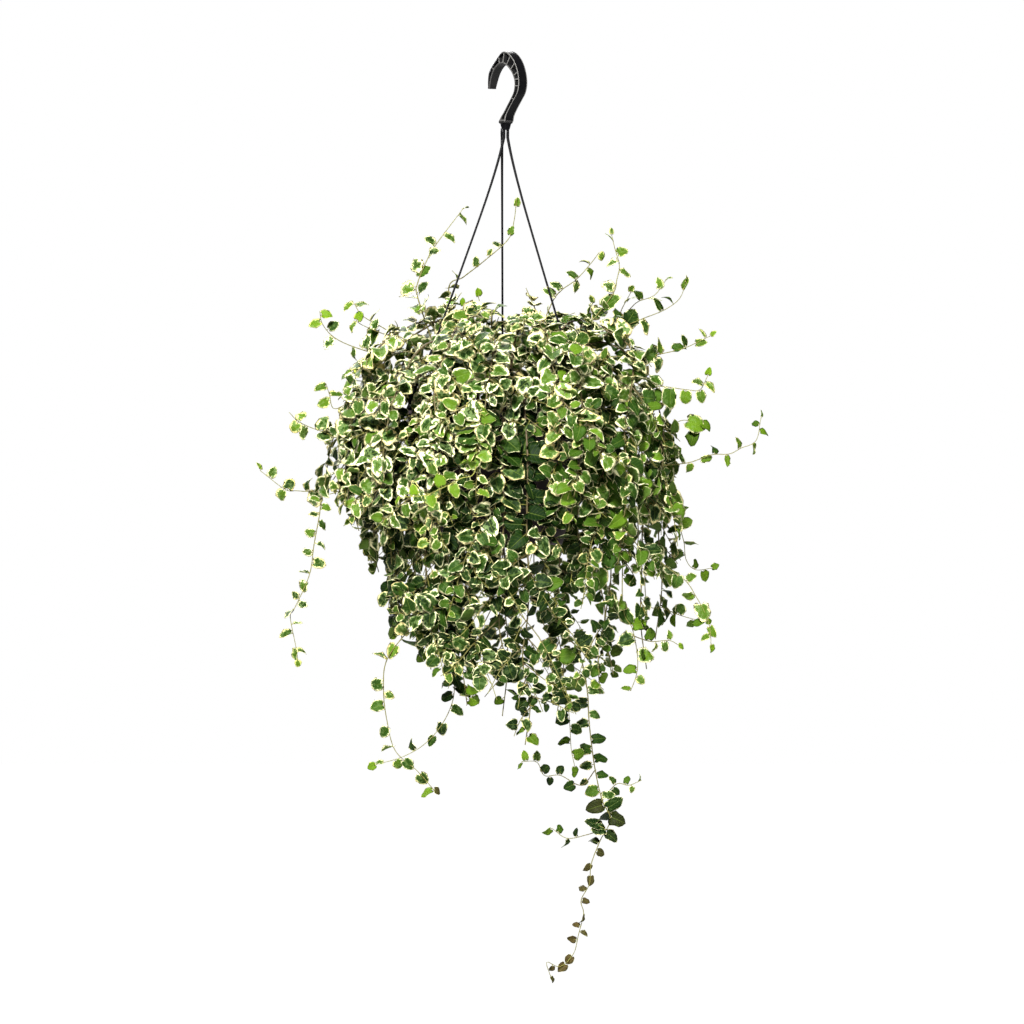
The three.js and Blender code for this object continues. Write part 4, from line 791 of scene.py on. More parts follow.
def leaf_looks(leaves, rng, cream, tone, young):
    """Each leaf's tone, cream, youth and a number of its own. There is less cream on the
    right and on young leaves, none on plain ones, and less close to the pot and low down as
    painted shade. The tone is darkened as painted shade close to the pot, low down and on
    the plain leaves of the opening, lighter on the right, and below 0 where the leaf is dry."""
    count = len(leaves["length"])
    youth = leaves["young"] ** 1.6 * rng.uniform(0.4, 1.1, count) + young - 0.15
    youth = np.clip(youth + rng.uniform(-0.1, 0.15, count), 0, 1)
    x, y, z = leaves["root"].T
    # Painted shade: close to the pot below the rim, on the plain leaves of the opening and low in the mass,
    # leaves get a darker tone, and all but the plain ones less cream.
    inner_shade = ramp(np.hypot(x - POT_X * MM, y), 0.18, 0.13) * ramp(z, -0.39, -0.42)
    right = ramp(x, 0.01, 0.11) * np.maximum(ramp(z, -0.37, -0.42), 0.3)
    plain, dry, shade = (leaves.get(key, np.zeros(count)) for key in ("plain", "dry", "shade"))
    cream = rng.normal(cream * (1 - 0.75 * inner_shade) * (1 - 0.50 * right), LOOK_SPREAD, count)
    cream = cream * (1 - 0.4 * youth) * (1 - 0.18 * shade) * (1 - np.maximum(plain, 0.8 * dry))
    tone = rng.normal(tone, LOOK_SPREAD, count) - 0.5 * inner_shade - 0.4 * plain + 0.14 * right - 0.12 * shade
    return np.stack([np.clip(tone, 0, 1) * (1 - dry) - dry, np.clip(cream, 0, 1),
                     youth * (1 - dry), rng.uniform(0, 1, count)], 1)


def bake_map(cells, corner, count):
    """Every corner's place on a square board of cells. Each stem has a cell, sixteen
    stalks share one, and each side of a blade has one."""
    used = sum(-(-n // split ** 2) for _, n, split in cells)
    side = int(np.ceil(np.sqrt(used + 2 * count)))
    maps, at = [], 0
    for patch, n, split in cells:
        j, share = np.arange(n), split ** 2
        c, j = at + j // share, j % share
        origin = np.stack([c % side + (j % split) / split, c // side + (j // split) / split], 1)
        maps.append(((origin[:, None, None] + patch[None]) / side).reshape(-1, 4, 2))
        at += -(-n // share)
    c = used + np.arange(2 * count)
    origin = np.stack([c % side, c // side], 1).reshape(count, 2, 1, 1, 2)
    maps.append(((origin + 0.05 + 0.9 * corner.reshape(1, 2, -1, 4, 2)) / side).reshape(-1, 4, 2))
    return np.concatenate(maps)


def leafy_piece(name, lines, leaves, rng, cream, tone, young):
    """One leafy group as a single piece: stems of (line or lines, foot radius, tip
    radius, greenness at both ends), then a stalk and a blade for each leaf."""
    verts, quads, look, cells = [], [], [], []
    sides = 6
    for line, r0, r1, green0, green1 in lines:
        line = line if line.ndim == 3 else line[None]
        n, m = line.shape[:2]
        radius = np.linspace(r0, r1, m) * (1 + 0.12 * np.sin(np.arange(m) * 1.9)) * MM
        v, q = round_rods(line, np.broadcast_to(radius, (n, m)), sides)
        verts.append(v)
        quads.append(q)
        green = np.repeat(np.linspace(green0, green1, m), sides)
        look.append(np.tile(np.stack([green * 0 + 0.5, green * 0, green, green * 0 + 0.3], 1), (n, 1)))
        strip = np.stack([np.repeat(np.linspace(0, 1, m), sides), np.tile(np.linspace(0, 0.9, sides), m)], 1)
        cells.append((0.04 + 0.92 * strip[q[:len(q) // n]], n, 1))
    count = len(leaves["length"])
    root, along, normal, length = (leaves[key] for key in ("root", "along", "normal", "length"))
    base = root + along * leaves["stalk"][:, None]
    step = np.linspace(0, 1, 3)[None, :, None]
    sag = np.sin(step * np.pi) * STALK_SAG * normal[:, None]
    end = base + along * STALK_INTO_BLADE
    v, q = round_rods(root[:, None] + (end - root)[:, None] * step + sag,
                      np.broadcast_to(STALK_RADII, (count, 3)), 4)
    verts.append(v)
    quads.append(q)
    look.append(np.tile([0.5, 0, 0.7, 0.4], (len(v), 1)))
    patch = np.tile([[0.1, 0.1], [0.9, 0.1], [0.9, 0.9], [0.1, 0.9]], (len(q) // count, 1, 1))
    cells.append((patch / 4, count, 4))
    stem_verts, stem_quads = sum(map(len, verts)), sum(map(len, quads))
    shape = np.stack([*(rng.uniform(*ends, count) for ends in (FOLDS, CURLS, WAVES, (0, 6.28))),
                      rng.normal(0, TWIST_SPREAD, count)])
    width = length * rng.uniform(*WIDTHS, count)
    v, q, place, corner = blade_sheets(base, along, normal, length, width, shape)
    verts.append(v)
    quads.append(q)
    per = len(place)
    look.append(np.repeat(leaf_looks(leaves, rng, cream, tone, young), per, 0))
    where = np.vstack([np.zeros((stem_verts, 4)), np.tile(np.c_[place, np.ones(per)], (count, 1))])
    verts, quads = joined(list(zip(verts, quads)))
    lower = np.r_[np.zeros(stem_quads), np.tile(np.repeat([0, 1], len(corner) // 2), count)]
    colours = {"blade_look": np.vstack(look), "blade_place": where}
    piece = mesh_piece(name, verts, quads, bake_map(cells, corner, count), [LEAF, STEM],
                       np.arange(len(quads)) < stem_quads, colours, {"lower_face": lower})
    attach(piece, "root")
    return piece


def stem_line(route):
    """The smooth line of a stem, from its foot in the soil through the points of its
    route, of which the first has only x and y."""
    foot, *rest = route
    points = [(*foot, FOOT_Z), (*foot, COLLAR_Z), *rest]
    return smooth_line(np.array(points) * MM, 40 + 12 * len(points))


def branch_line(stem, route, stations):
    """The smooth line of a branch, from the stem's point nearest to its first point."""
    points = np.array(route) * MM
    root = stem[np.linalg.norm(stem - points[0], axis=1).argmin()]
    return smooth_line(np.vstack([root, points]), stations)


def free_shoot(name, plant, seed, cream, tone, young=0.15, scale=0.86, dry_from=-9.0):
    """A shoot whose free leaves are known. Its hidden part near the pot gets leaves and
    twigs by the rule. Below `dry_from` more and more leaves of the main stem are dry."""
    rng = np.random.default_rng(seed)
    first_leaf, first_on_branch, leaf_step, leaf_size = 0.052, 0.008, 0.0095, 0.022
    twig_start, twig_step, twig_reach, twig_leaf = 0.018, 0.034, 0.042, 0.019
    least_hidden, dry_spread, small_leaf, less_dry = 0.09, 0.12, 0.013, 0.45
    main = stem_line(plant["route"])
    runs = [(main, plant["leaves"], first_leaf, (1.2, 0.4, young, 0.5 + 0.6 * young))]
    for branch in plant.get("branches", ()):
        twig = branch_line(main, branch["route"], 20 + 8 * len(branch["route"]))
        runs.append((twig, branch["leaves"], first_on_branch, FREE_BRANCH))
    lines, groups = [], []
    for line, listed, start, thick in runs:
        lines.append((line, *thick))
        groups.append(listed_leaves(line, listed, rng, scale))
        seen = np.array(listed) * MM
        gap = np.hypot(line[:, :1] - seen[:, 0], line[:, 2:] - seen[:, 1])
        inner = line[:max(4, gap.argmin(0).min())]
        if len(inner) / len(line) * run_length(line) < least_hidden:
            continue
        rule = leaf_run(inner, start, leaf_step, leaf_size, rng, tip=0.95)
        rule["young"] = rule["young"] * 0
        twigs = side_twigs(inner, start + twig_start, twig_step, twig_reach, rng)
        groups += [rule] + [leaf_run(t, TWIG_LEAF_START, TWIG_LEAF_STEP, twig_leaf, rng) for t in twigs]
        if len(twigs):
            lines.append((twigs, *FREE_TWIG))
    leaves = together(groups)
    luck = rng.uniform(0, 1, (2, len(leaves["root"])))
    leaves["dry"] = (luck[0] < (dry_from - leaves["root"][:, 2]) / dry_spread) * (0.5 + 0.5 * luck[1])
    leaves["dry"][len(plant["leaves"]):] = 0
    leaves["dry"] *= np.where(leaves["length"] > small_leaf, less_dry, 1.0)
    piece = leafy_piece("fig_" + name, lines, leaves, rng, cream, tone, young)
    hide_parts(name)


# Each shoot is listed in millimetres: its route from its foot in the soil, which has no
# height, its leaves as (x, z, length), and branches that start at the main stem.
UPPER_SPRAYS = {
    "spray_up_left": dict(
        route=[(-58, -35), (-81, -50, -350), (-104, -66, -282), (-104, -57, -263), (-91, -48, -232),
            (-77, -40, -210), (-59, -31, -186), (-50, -22, -174)],
        leaves=[(-50, -187, 16), (-68, -209, 18), (-88, -215, 18), (-88, -228, 19), (-107, -241, 22),
            (-98, -256, 22), (-50, -175, 10)]),
    "spray_up_back": dict(
        route=[(-44, 39), (-56, 53, -341), (-68, 66, -269), (-50, 60, -254), (-25, 45, -235), (4, 40, -209),
            (11, 40, -186), (14, 34, -160)],
        leaves=[(-59, -251, 14), (-35, -239, 14), (-18, -226, 13), (-10, -214, 13), (7, -202, 13),
            (14, -169, 12)]),
    "spray_up_mid": dict(
        route=[(28, 4), (41, 15, -330), (56, 20, -287), (68, 14, -271), (86, 8, -258), (104, 2, -238),
            (113, -4, -226)],
        leaves=[(54, -275, 20), (60, -264, 18), (86, -268, 18), (80, -251, 17), (104, -251, 17),
            (95, -235, 14), (115, -230, 14)]),
    "spray_up_right": dict(
        route=[(42, -11), (85, -22, -335), (127, -32, -280), (134, -27, -259), (137, -22, -242),
            (132, -17, -223), (128, -12, -206)],
        leaves=[(124, -289, 29), (125, -268, 19), (130, -238, 17), (146, -251, 18), (139, -226, 16),
            (127, -212, 14), (128, -203, 10)]),
    "sprig_top": dict(
        route=[(-19, -9), (-20, -21, -350), (-25, -30, -329), (-22, -35, -310), (-29, -39, -290),
            (-32, -44, -280)],
        leaves=[(-37, -293, 17), (-16, -300, 18), (-31, -307, 17), (-32, -277, 12), (-19, -322, 22)],
        branches=[
            dict(route=[(-25, -34, -324), (-42, -46, -310), (-50, -58, -292)],
                 leaves=[(-48, -308, 17), (-37, -300, 14), (-50, -289, 11)])])}

for seed, (name, plant) in enumerate(UPPER_SPRAYS.items(), 100):
    free_shoot(name, plant, seed, cream=0.70, tone=0.48, young=0.6 if name == "sprig_top" else 0.2)

# Left sprays
# Shoots that reach out over the left of the rim, the most variegated of all, and one
# long thin trail that hangs from them with many small leaves.
LEFT_SPRAYS = {
    "spray_left_high": dict(
        route=[(-68, -8), (-105, -16, -350), (-143, -22, -350), (-178, -34, -341), (-204, -46, -329),
            (-218, -58, -313), (-221, -70, -298)],
        leaves=[(-212, -302, 16), (-226, -312, 17), (-204, -314, 16), (-211, -337, 19), (-182, -349, 22),
            (-149, -355, 29), (-164, -332, 22)]),
    "spray_left_back": dict(
        route=[(-63, 21), (-103, 35, -345), (-143, 50, -318), (-166, 61, -305), (-175, 73, -298),
            (-182, 84, -286)],
        leaves=[(-190, -289, 17), (-175, -287, 17), (-162, -330, 29), (-133, -331, 29), (-157, -298, 19)],
        branches=[
            dict(route=[(-143, 40, -324), (-169, 30, -314), (-179, 20, -308)],
                 leaves=[(-175, -302, 16), (-156, -314, 19), (-184, -314, 16)])]),
    "spray_left_mid": dict(
        route=[(-82, -14), (-130, -24, -368), (-179, -34, -401), (-204, -37, -414), (-210, -41, -397),
            (-214, -44, -384)],
        leaves=[(-218, -388, 17), (-216, -406, 19), (-202, -398, 19), (-192, -418, 24)],
        branches=[
            dict(route=[(-169, -14, -398), (-178, -3, -390), (-184, 8, -368)],
                 leaves=[(-190, -371, 19), (-175, -364, 19), (-191, -386, 19)])]),
    "spray_left_low": dict(
        route=[(-80, -29), (-136, -45, -378), (-191, -64, -444), (-216, -73, -442), (-244, -83, -431),
            (-257, -92, -419)],
        leaves=[(-242, -424, 16), (-250, -436, 18), (-239, -440, 19), (-217, -431, 22), (-210, -451, 22),
            (-194, -434, 24)]),
    "spray_far_left": dict(
        route=[(-87, 16), (-128, 25, -388), (-193, 38, -428), (-203, 40, -492), (-229, 34, -511),
            (-251, 27, -512), (-265, 20, -510), (-294, 14, -488)],
        leaves=[(-268, -516, 18), (-258, -502, 17), (-238, -502, 19), (-228, -518, 26), (-281, -492, 16),
            (-295, -484, 12)]),
    "trail_left": dict(
        route=[(-93, -3), (-131, -8, -388), (-197, -13, -428), (-218, -14, -515), (-223, -17, -545),
            (-229, -20, -578), (-233, -22, -608), (-242, -25, -632), (-253, -28, -655), (-257, -30, -664),
            (-250, -33, -700), (-248, -36, -713)],
        leaves=[(-226, -523, 17), (-216, -532, 14), (-230, -540, 14), (-217, -554, 16), (-232, -563, 16),
            (-220, -577, 16), (-235, -586, 16), (-226, -599, 18), (-240, -610, 14), (-240, -625, 18),
            (-250, -638, 13), (-241, -648, 13), (-256, -656, 18), (-247, -670, 12), (-262, -684, 18),
            (-253, -702, 17), (-242, -703, 16), (-248, -716, 11)])}

for seed, (name, plant) in enumerate(LEFT_SPRAYS.items(), 130):
    free_shoot(name, plant, seed, cream=0.78, tone=0.46)

# Right sprays
# Shoots over the right of the rim: greener leaves with narrower margins, and short
# trails that bend down at the pot's side.
RIGHT_SPRAYS = {
    "spray_right_high": dict(
        route=[(48, 6), (93, 17, -340), (138, 24, -317), (166, 20, -305), (191, 16, -295), (209, 12, -282),
            (217, 8, -264)],
        leaves=[(148, -308, 29), (168, -313, 22), (185, -290, 20), (199, -283, 19), (214, -268, 17),
            (218, -260, 11)]),
    "spray_right_mid": dict(
        route=[(57, -20), (110, -30, -356), (162, -44, -354), (185, -55, -349), (214, -65, -342),
            (244, -76, -328)],
        leaves=[(184, -343, 22), (202, -342, 19), (214, -335, 17), (230, -338, 16), (236, -326, 14),
            (155, -350, 26), (184, -365, 24), (245, -326, 10)]),
    "spray_right_back": dict(
        route=[(51, 27), (99, 44, -338), (145, 64, -298), (160, 71, -284), (180, 77, -276),
            (194, 84, -258)],
        leaves=[(175, -282, 18), (187, -264, 18), (162, -276, 17), (137, -301, 22), (196, -256, 10)],
        branches=[
            dict(route=[(140, 60, -295), (151, 40, -274)],
                 leaves=[(149, -283, 19), (152, -270, 12)])]),
    "spray_right_front": dict(
        route=[(61, -35), (114, -59, -366), (167, -84, -389), (187, -91, -388), (216, -98, -392),
            (232, -105, -392), (241, -112, -376)],
        leaves=[(180, -379, 24), (179, -398, 24), (197, -397, 29), (215, -401, 20), (234, -401, 18),
            (246, -389, 18), (229, -383, 16), (242, -372, 11)]),
    "spray_right_rear": dict(
        route=[(62, 13), (117, 32, -369), (176, 48, -446), (193, 56, -439), (214, 57, -427),
            (240, 64, -432)],
        leaves=[(222, -432, 29), (241, -433, 17), (226, -450, 22), (188, -427, 22), (198, -440, 22)]),
    "spray_far_right": dict(
        route=[(79, -5), (116, -13, -386), (169, -18, -428), (169, -18, -482), (197, -17, -481),
            (222, -15, -478), (248, -14, -469), (269, -12, -468), (283, -11, -461), (301, -9, -452),
            (307, -8, -425)],
        leaves=[(202, -461, 22), (212, -473, 18), (221, -487, 16), (236, -476, 17), (251, -463, 16),
            (266, -474, 16), (281, -458, 16), (298, -460, 16), (310, -442, 16), (302, -432, 12),
            (308, -421, 10), (181, -492, 24)]),
    "trail_right_back": dict(
        route=[(66, 28), (114, 31, -383), (179, 39, -428), (191, 45, -523), (206, 43, -546),
            (215, 40, -572), (218, 36, -595), (229, 33, -607), (250, 30, -605)],
        leaves=[(215, -535, 19), (220, -550, 18), (205, -559, 17), (222, -575, 19), (210, -590, 18),
            (230, -599, 14), (240, -611, 16), (251, -604, 11)]),
    "trail_right_low": dict(
        route=[(80, -21), (115, -23, -382), (172, -34, -428), (175, -35, -505), (172, -34, -581),
            (192, -39, -602), (216, -45, -620), (228, -50, -638), (240, -55, -660), (245, -61, -678),
            (246, -66, -697)],
        leaves=[(206, -617, 19), (222, -616, 16), (221, -637, 18), (235, -655, 26), (230, -670, 16),
            (247, -676, 17), (239, -686, 14), (247, -696, 11)]),
    "trail_right_rear": dict(
        route=[(84, 9), (116, 17, -382), (169, 24, -428), (173, 24, -505), (169, 24, -638), (191, 28, -653),
            (211, 32, -662), (240, 36, -670)],
        leaves=[(185, -660, 26), (204, -668, 17), (212, -654, 17), (224, -670, 16), (240, -668, 11)]),
    "trail_right_front": dict(
        route=[(70, -49), (105, -55, -382), (140, -88, -428), (143, -90, -505), (140, -88, -643),
            (152, -84, -677), (158, -79, -709), (157, -74, -731), (150, -70, -751)],
        leaves=[(146, -655, 24), (162, -670, 24), (146, -691, 24), (166, -708, 26), (151, -725, 19),
            (161, -737, 14), (146, -749, 14)],
        branches=[
            dict(route=[(155, -80, -686), (174, -73, -692), (196, -67, -691), (208, -60, -697)],
                 leaves=[(173, -683, 17), (180, -701, 14), (191, -697, 16), (196, -684, 13),
                     (208, -696, 11)])])}

for seed, (name, plant) in enumerate(RIGHT_SPRAYS.items(), 160):
    free_shoot(name, plant, seed, cream=0.55, tone=0.56)

# Long trails
# Stems that hang far below the pot, with the oldest, darkest leaves, small and partly
# dry towards their ends, and one pale young runner across the front.
LONG_TRAILS = {
    "trail_front_left": dict(
        route=[(-45, -75), (-62, -111, -390), (-78, -142, -428), (-79, -145, -505), (-78, -142, -644),
            (-113, -141, -677), (-140, -139, -713), (-144, -138, -749), (-140, -136, -785),
            (-130, -135, -821), (-104, -133, -845), (-83, -132, -869)],
        leaves=[(-88, -648, 22), (-101, -667, 20), (-118, -677, 19), (-128, -697, 19), (-145, -710, 18),
            (-151, -742, 19), (-139, -756, 14), (-151, -768, 17), (-142, -796, 17), (-137, -817, 17),
            (-120, -833, 17), (-101, -851, 17), (-91, -870, 16), (-82, -868, 11)],
        branches=[
            dict(route=[(-76, -142, -640), (-70, -136, -680), (-62, -127, -724), (-61, -120, -757),
                (-73, -123, -787), (-94, -126, -812), (-121, -129, -828), (-155, -132, -838)],
                 leaves=[(-72, -790, 17), (-59, -773, 18), (-83, -805, 14), (-109, -817, 16),
                     (-128, -836, 14), (-145, -833, 12), (-156, -839, 11)])]),
    "trail_long": dict(
        route=[(55, -53), (85, -83, -392), (110, -106, -428), (113, -108, -505), (66, -66, -658),
            (88, -64, -703), (98, -62, -749), (100, -60, -782), (103, -58, -812), (108, -55, -847),
            (116, -53, -882), (126, -51, -905), (114, -49, -930), (103, -47, -959), (101, -45, -982),
            (91, -43, -1002), (94, -41, -1018), (88, -38, -1043), (82, -37, -1066), (66, -48, -1081),
            (50, -63, -1075), (54, -60, -1091)],
        leaves=[(72, -667, 29), (96, -691, 29), (82, -709, 29), (107, -725, 26), (89, -739, 26),
            (110, -751, 26), (92, -766, 24), (110, -779, 22), (91, -792, 22), (113, -808, 22),
            (94, -820, 22), (114, -832, 22), (95, -841, 19), (116, -852, 19), (106, -871, 22),
            (121, -876, 22), (128, -888, 29), (109, -890, 29), (119, -900, 29), (132, -904, 26),
            (104, -908, 26), (116, -917, 24), (127, -925, 22), (107, -931, 19), (113, -944, 14),
            (101, -956, 16), (102, -973, 16), (94, -989, 14), (97, -1003, 12), (94, -1021, 16),
            (86, -1032, 12), (92, -1040, 14), (79, -1048, 14), (79, -1068, 16), (71, -1080, 16),
            (56, -1081, 11), (55, -1091, 10)],
        branches=[
            dict(route=[(116, -40, -883), (133, -47, -863), (148, -53, -864), (163, -60, -858)],
                 leaves=[(128, -857, 14), (133, -872, 14), (145, -859, 14), (152, -870, 13),
                     (160, -858, 13)]),
            dict(route=[(119, -40, -917), (97, -37, -924), (74, -33, -928), (56, -30, -916)],
                 leaves=[(65, -918, 17), (53, -919, 16), (73, -936, 17), (84, -920, 14)]),
            dict(route=[(107, -50, -847), (91, -57, -864), (66, -64, -852), (47, -70, -852),
                (38, -77, -836), (20, -84, -835)],
                 leaves=[(97, -857, 14), (80, -864, 18), (66, -847, 18), (54, -860, 13), (47, -846, 17),
                     (38, -829, 16), (24, -828, 16), (18, -840, 12)])]),
    "trail_second": dict(
        route=[(32, -77), (49, -110, -392), (65, -141, -428), (66, -144, -505), (42, -96, -643),
            (61, -91, -703), (73, -86, -751), (77, -82, -787), (79, -77, -820), (83, -72, -840)],
        leaves=[(48, -655, 29), (62, -677, 29), (50, -697, 29), (72, -709, 26), (60, -730, 26),
            (82, -744, 26), (65, -760, 24), (84, -770, 22), (68, -785, 22), (86, -797, 19), (72, -812, 19),
            (86, -826, 18), (83, -845, 16)]),
    "runner_front": dict(
        route=[(-21, -70), (-24, -123, -354), (-33, -188, -428), (-35, -200, -488), (-52, -204, -498),
            (-71, -207, -508), (-95, -210, -518), (-122, -214, -520)],
        leaves=[(-42, -479, 19), (-60, -510, 18), (-78, -499, 17), (-86, -523, 17), (-108, -511, 14),
            (-122, -523, 11)])}
DRY_FROM = -0.84
TRAIL_SCALE = {"trail_long": 0.76, "trail_second": 0.8}

for seed, (name, plant) in enumerate(LONG_TRAILS.items(), 190):
    free_shoot(name, plant, seed, cream=0.64, tone=0.53, young=0.75 if name == "runner_front" else 0.1,
               scale=TRAIL_SCALE.get(name, 0.95), dry_from=DRY_FROM)

# Curtain
# Stems that fall close to the pot on all sides and end at different heights, in plain and
# thinly edged leaves, margins narrowed and greens darkened near the pot as painted shade.
# Some fork on the crown, and the large leaves without a margin at the front, darkened as
# painted shade too, are listed as (x, z, length).

# Radius at the foot and at the tip in millimetres, and greenness at both.
MASS_STEM, MASS_FORK, MASS_TWIG = (1.6, 0.6, 0.0, 0.3), (1.3, 0.6, 0.0, 0.3), (0.8, 0.4, 0.1, 0.6)


def full_stem(name, plant, seed, cream, tone, step=0.0088, reach=0.06, twig_step=0.027, tip=0.5):
    """A stem of the leaf mass, with a fork where it has one: leaves and side twigs along
    its whole length by the rule, and the large plain leaves that are listed."""
    rng = np.random.default_rng(seed)
    leaf_size, twig_leaf, young = 0.0225, 0.0225 * 0.92, 0.15
    first_leaf, first_on_fork, twig_start = 0.05, 0.012, 0.02
    line = stem_line(plant["route"])
    runs, groups, lines = [(line, first_leaf, MASS_STEM)], [], []
    if "fork" in plant:
        fork = branch_line(line, plant["fork"], 40 + 12 * len(plant["fork"]))
        runs.append((fork, first_on_fork, MASS_FORK))
    for run, first, thick in runs:
        twigs = side_twigs(run, first + twig_start, twig_step, reach, rng)
        groups.append(leaf_run(run, first, step, leaf_size, rng, tip))
        groups += [leaf_run(t, TWIG_LEAF_START, TWIG_LEAF_STEP, twig_leaf, rng) for t in twigs]
        lines += [(run, *thick)] + ([(twigs, *MASS_TWIG)] if len(twigs) else [])
    leaves = together(groups)
    leaves["plain"] = np.zeros(len(leaves["length"]))
    if "plain_leaves" in plant:
        extra = listed_leaves(line, plant["plain_leaves"], rng, scale=1.0)
        # The listed plain leaves have no margin; their darker tone is painted shade for the opening they
        # fill.
        extra["plain"] = np.ones(len(extra["length"]))
        extra["young"] = extra["young"] * 0
        leaves = together([leaves, extra])
    leaves["shade"] = ramp(leaves["root"][:, 2], -0.56, -0.64)
    piece = leafy_piece("fig_" + name, lines, leaves, rng, cream, tone, young)
    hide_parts(name)


CURTAIN = {
    "curtain_left_a": dict(
        route=[(-89, -42), (-119, -47, -382), (-132, -63, -425), (-144, -69, -480), (-133, -64, -560),
            (-129, -61, -626), (-123, -58, -691)],
        fork=[(-133, -49, -400), (-151, -33, -424), (-162, -35, -478), (-158, -39, -532),
            (-156, -29, -600)]),
    "curtain_left_b": dict(
        route=[(-64, -72), (-83, -96, -382), (-94, -109, -425), (-102, -120, -480), (-96, -113, -560),
            (-94, -111, -615), (-98, -112, -670), (-88, -106, -725)]),
    "curtain_front_a": dict(
        route=[(-35, -88), (-44, -116, -382), (-49, -133, -425), (-53, -146, -480), (-51, -139, -560),
            (-45, -135, -611), (-52, -137, -663), (-51, -136, -714), (-45, -132, -766)]),
    "curtain_front_b": dict(
        route=[(-4, -92), (-3, -122, -382), (-2, -139, -425), (-2, -153, -480), (-2, -139, -560),
            (0, -135, -615), (-7, -136, -670), (2, -129, -725), (-3, -128, -780)]),
    "curtain_front_c": dict(
        route=[(14, -90), (20, -119, -382), (24, -136, -425), (27, -149, -480), (26, -143, -560),
            (28, -141, -611), (27, -141, -661), (21, -144, -712), (30, -138, -763), (24, -141, -814)],
        plain_leaves=[(20, -457, 38), (47, -412, 34), (24, -420, 30), (4, -436, 27), (38, -470, 30),
            (6, -470, 28), (20, -488, 28), (40, -492, 26), (2, -500, 26), (30, -508, 22), (44, -520, 27),
            (17, -524, 27), (2, -528, 24), (34, -540, 25), (56, -546, 27), (22, -550, 26), (8, -552, 24),
            (62, -520, 24), (60, -438, 26), (58, -466, 28)]),
    "curtain_front_d": dict(
        route=[(55, -68), (80, -85, -382), (105, -110, -425), (116, -120, -480), (114, -118, -560),
            (110, -120, -608), (119, -116, -657), (111, -119, -705), (113, -119, -754)]),
    "curtain_right_a": dict(
        route=[(78, -36), (106, -46, -382), (152, -65, -425), (168, -71, -480), (164, -70, -560),
            (163, -71, -615), (162, -71, -670), (169, -68, -725)]),
    "curtain_left_c": dict(
        route=[(-87, 46), (-113, 61, -382), (-128, 70, -425), (-139, 77, -480), (-129, 71, -560),
            (-129, 66, -618), (-120, 66, -677)],
        fork=[(-130, 47, -400), (-144, 36, -424), (-151, 43, -478), (-152, 35, -532), (-156, 31, -588),
            (-152, 27, -610)]),
    "curtain_back_a": dict(
        route=[(-51, 81), (-65, 107, -382), (-73, 123, -425), (-80, 135, -480), (-75, 125, -560),
            (-69, 125, -612), (-77, 118, -663), (-68, 119, -715)],
        fork=[(-53, 124, -400), (-44, 142, -424), (-45, 143, -478), (-36, 154, -532), (-39, 142, -600)]),
    "curtain_back_b": dict(
        route=[(-2, 92), (9, 121, -382), (0, 139, -425), (1, 153, -480), (0, 144, -560), (-5, 139, -624),
            (3, 142, -687), (1, 138, -751)]),
    "curtain_back_c": dict(
        route=[(38, 81), (52, 107, -382), (61, 123, -425), (67, 135, -480), (66, 132, -560),
            (66, 132, -616), (62, 130, -671), (71, 134, -727), (63, 131, -782)],
        fork=[(44, 128, -400), (30, 139, -424), (34, 148, -478), (37, 147, -532), (35, 144, -588),
            (36, 144, -640)]),
    "curtain_back_d": dict(
        route=[(67, 55), (91, 73, -382), (117, 93, -425), (129, 102, -480), (126, 100, -560),
            (128, 101, -618), (121, 98, -676), (131, 102, -734)]),
    "curtain_right_b": dict(
        route=[(82, 25), (112, 26, -382), (173, 43, -426), (191, 47, -479), (185, 47, -560),
            (189, 47, -626), (181, 44, -691)])}

for seed, (name, plant) in enumerate(CURTAIN.items(), 220):
    full_stem(name, plant, seed, cream=0.66, tone=0.40, reach=0.084, twig_step=0.018, tip=0.95)

# Shoulders
# Strong stems that arch over the crown and come down along the outside of the mass,
# with full-sized cream-edged leaves that overlap like shingles.
SHOULDERS = {
    "shoulder_front_left": dict(
        route=[(-53, -58), (-66, -76, -356), (-80, -93, -334), (-106, -123, -350), (-129, -143, -396),
            (-142, -150, -450), (-145, -142, -505), (-143, -132, -560)],
        fork=[(-131, -131, -414), (-127, -107, -424), (-138, -106, -478), (-137, -100, -532),
            (-135, -100, -600)]),
    "shoulder_front": dict(
        route=[(-6, -75), (-11, -97, -356), (-11, -118, -334), (-14, -158, -350), (-21, -181, -396),
            (-28, -195, -450), (-34, -190, -505), (-34, -182, -520)]),
    "shoulder_front_right": dict(
        route=[(34, -61), (46, -80, -356), (59, -98, -334), (80, -132, -350), (90, -156, -396),
            (92, -172, -450), (84, -171, -505), (75, -167, -560)]),
    "shoulder_right": dict(
        route=[(63, -5), (86, -13, -356), (110, -17, -334), (149, -24, -350), (178, -34, -396),
            (190, -42, -450), (185, -48, -505), (176, -50, -545)]),
    "shoulder_back_right": dict(
        route=[(39, 58), (52, 76, -356), (66, 93, -334), (92, 123, -350), (113, 142, -396),
            (127, 148, -450), (129, 141, -505), (128, 131, -560)],
        fork=[(87, 117, -368), (86, 108, -424), (100, 114, -478), (89, 113, -532), (90, 119, -588),
            (94, 106, -620)]),
    "shoulder_back": dict(
        route=[(-10, 74), (-11, 96, -356), (-11, 118, -334), (-11, 158, -350), (-6, 188, -396),
            (0, 202, -450), (7, 198, -505), (16, 189, -590)],
        fork=[(-39, 171, -368), (-61, 168, -424), (-72, 178, -478), (-70, 177, -532), (-63, 181, -600)]),
    "shoulder_back_left": dict(
        route=[(-60, 51), (-76, 67, -356), (-92, 82, -334), (-119, 111, -350), (-138, 137, -396),
            (-143, 152, -450), (-136, 153, -505), (-125, 151, -560)],
        fork=[(-115, 107, -368), (-106, 101, -424), (-117, 109, -478), (-105, 108, -532), (-106, 106, -588),
            (-115, 105, -630)])}

for seed, (name, plant) in enumerate(SHOULDERS.items(), 250):
    full_stem(name, plant, seed, cream=0.72, tone=0.43, step=0.0092)

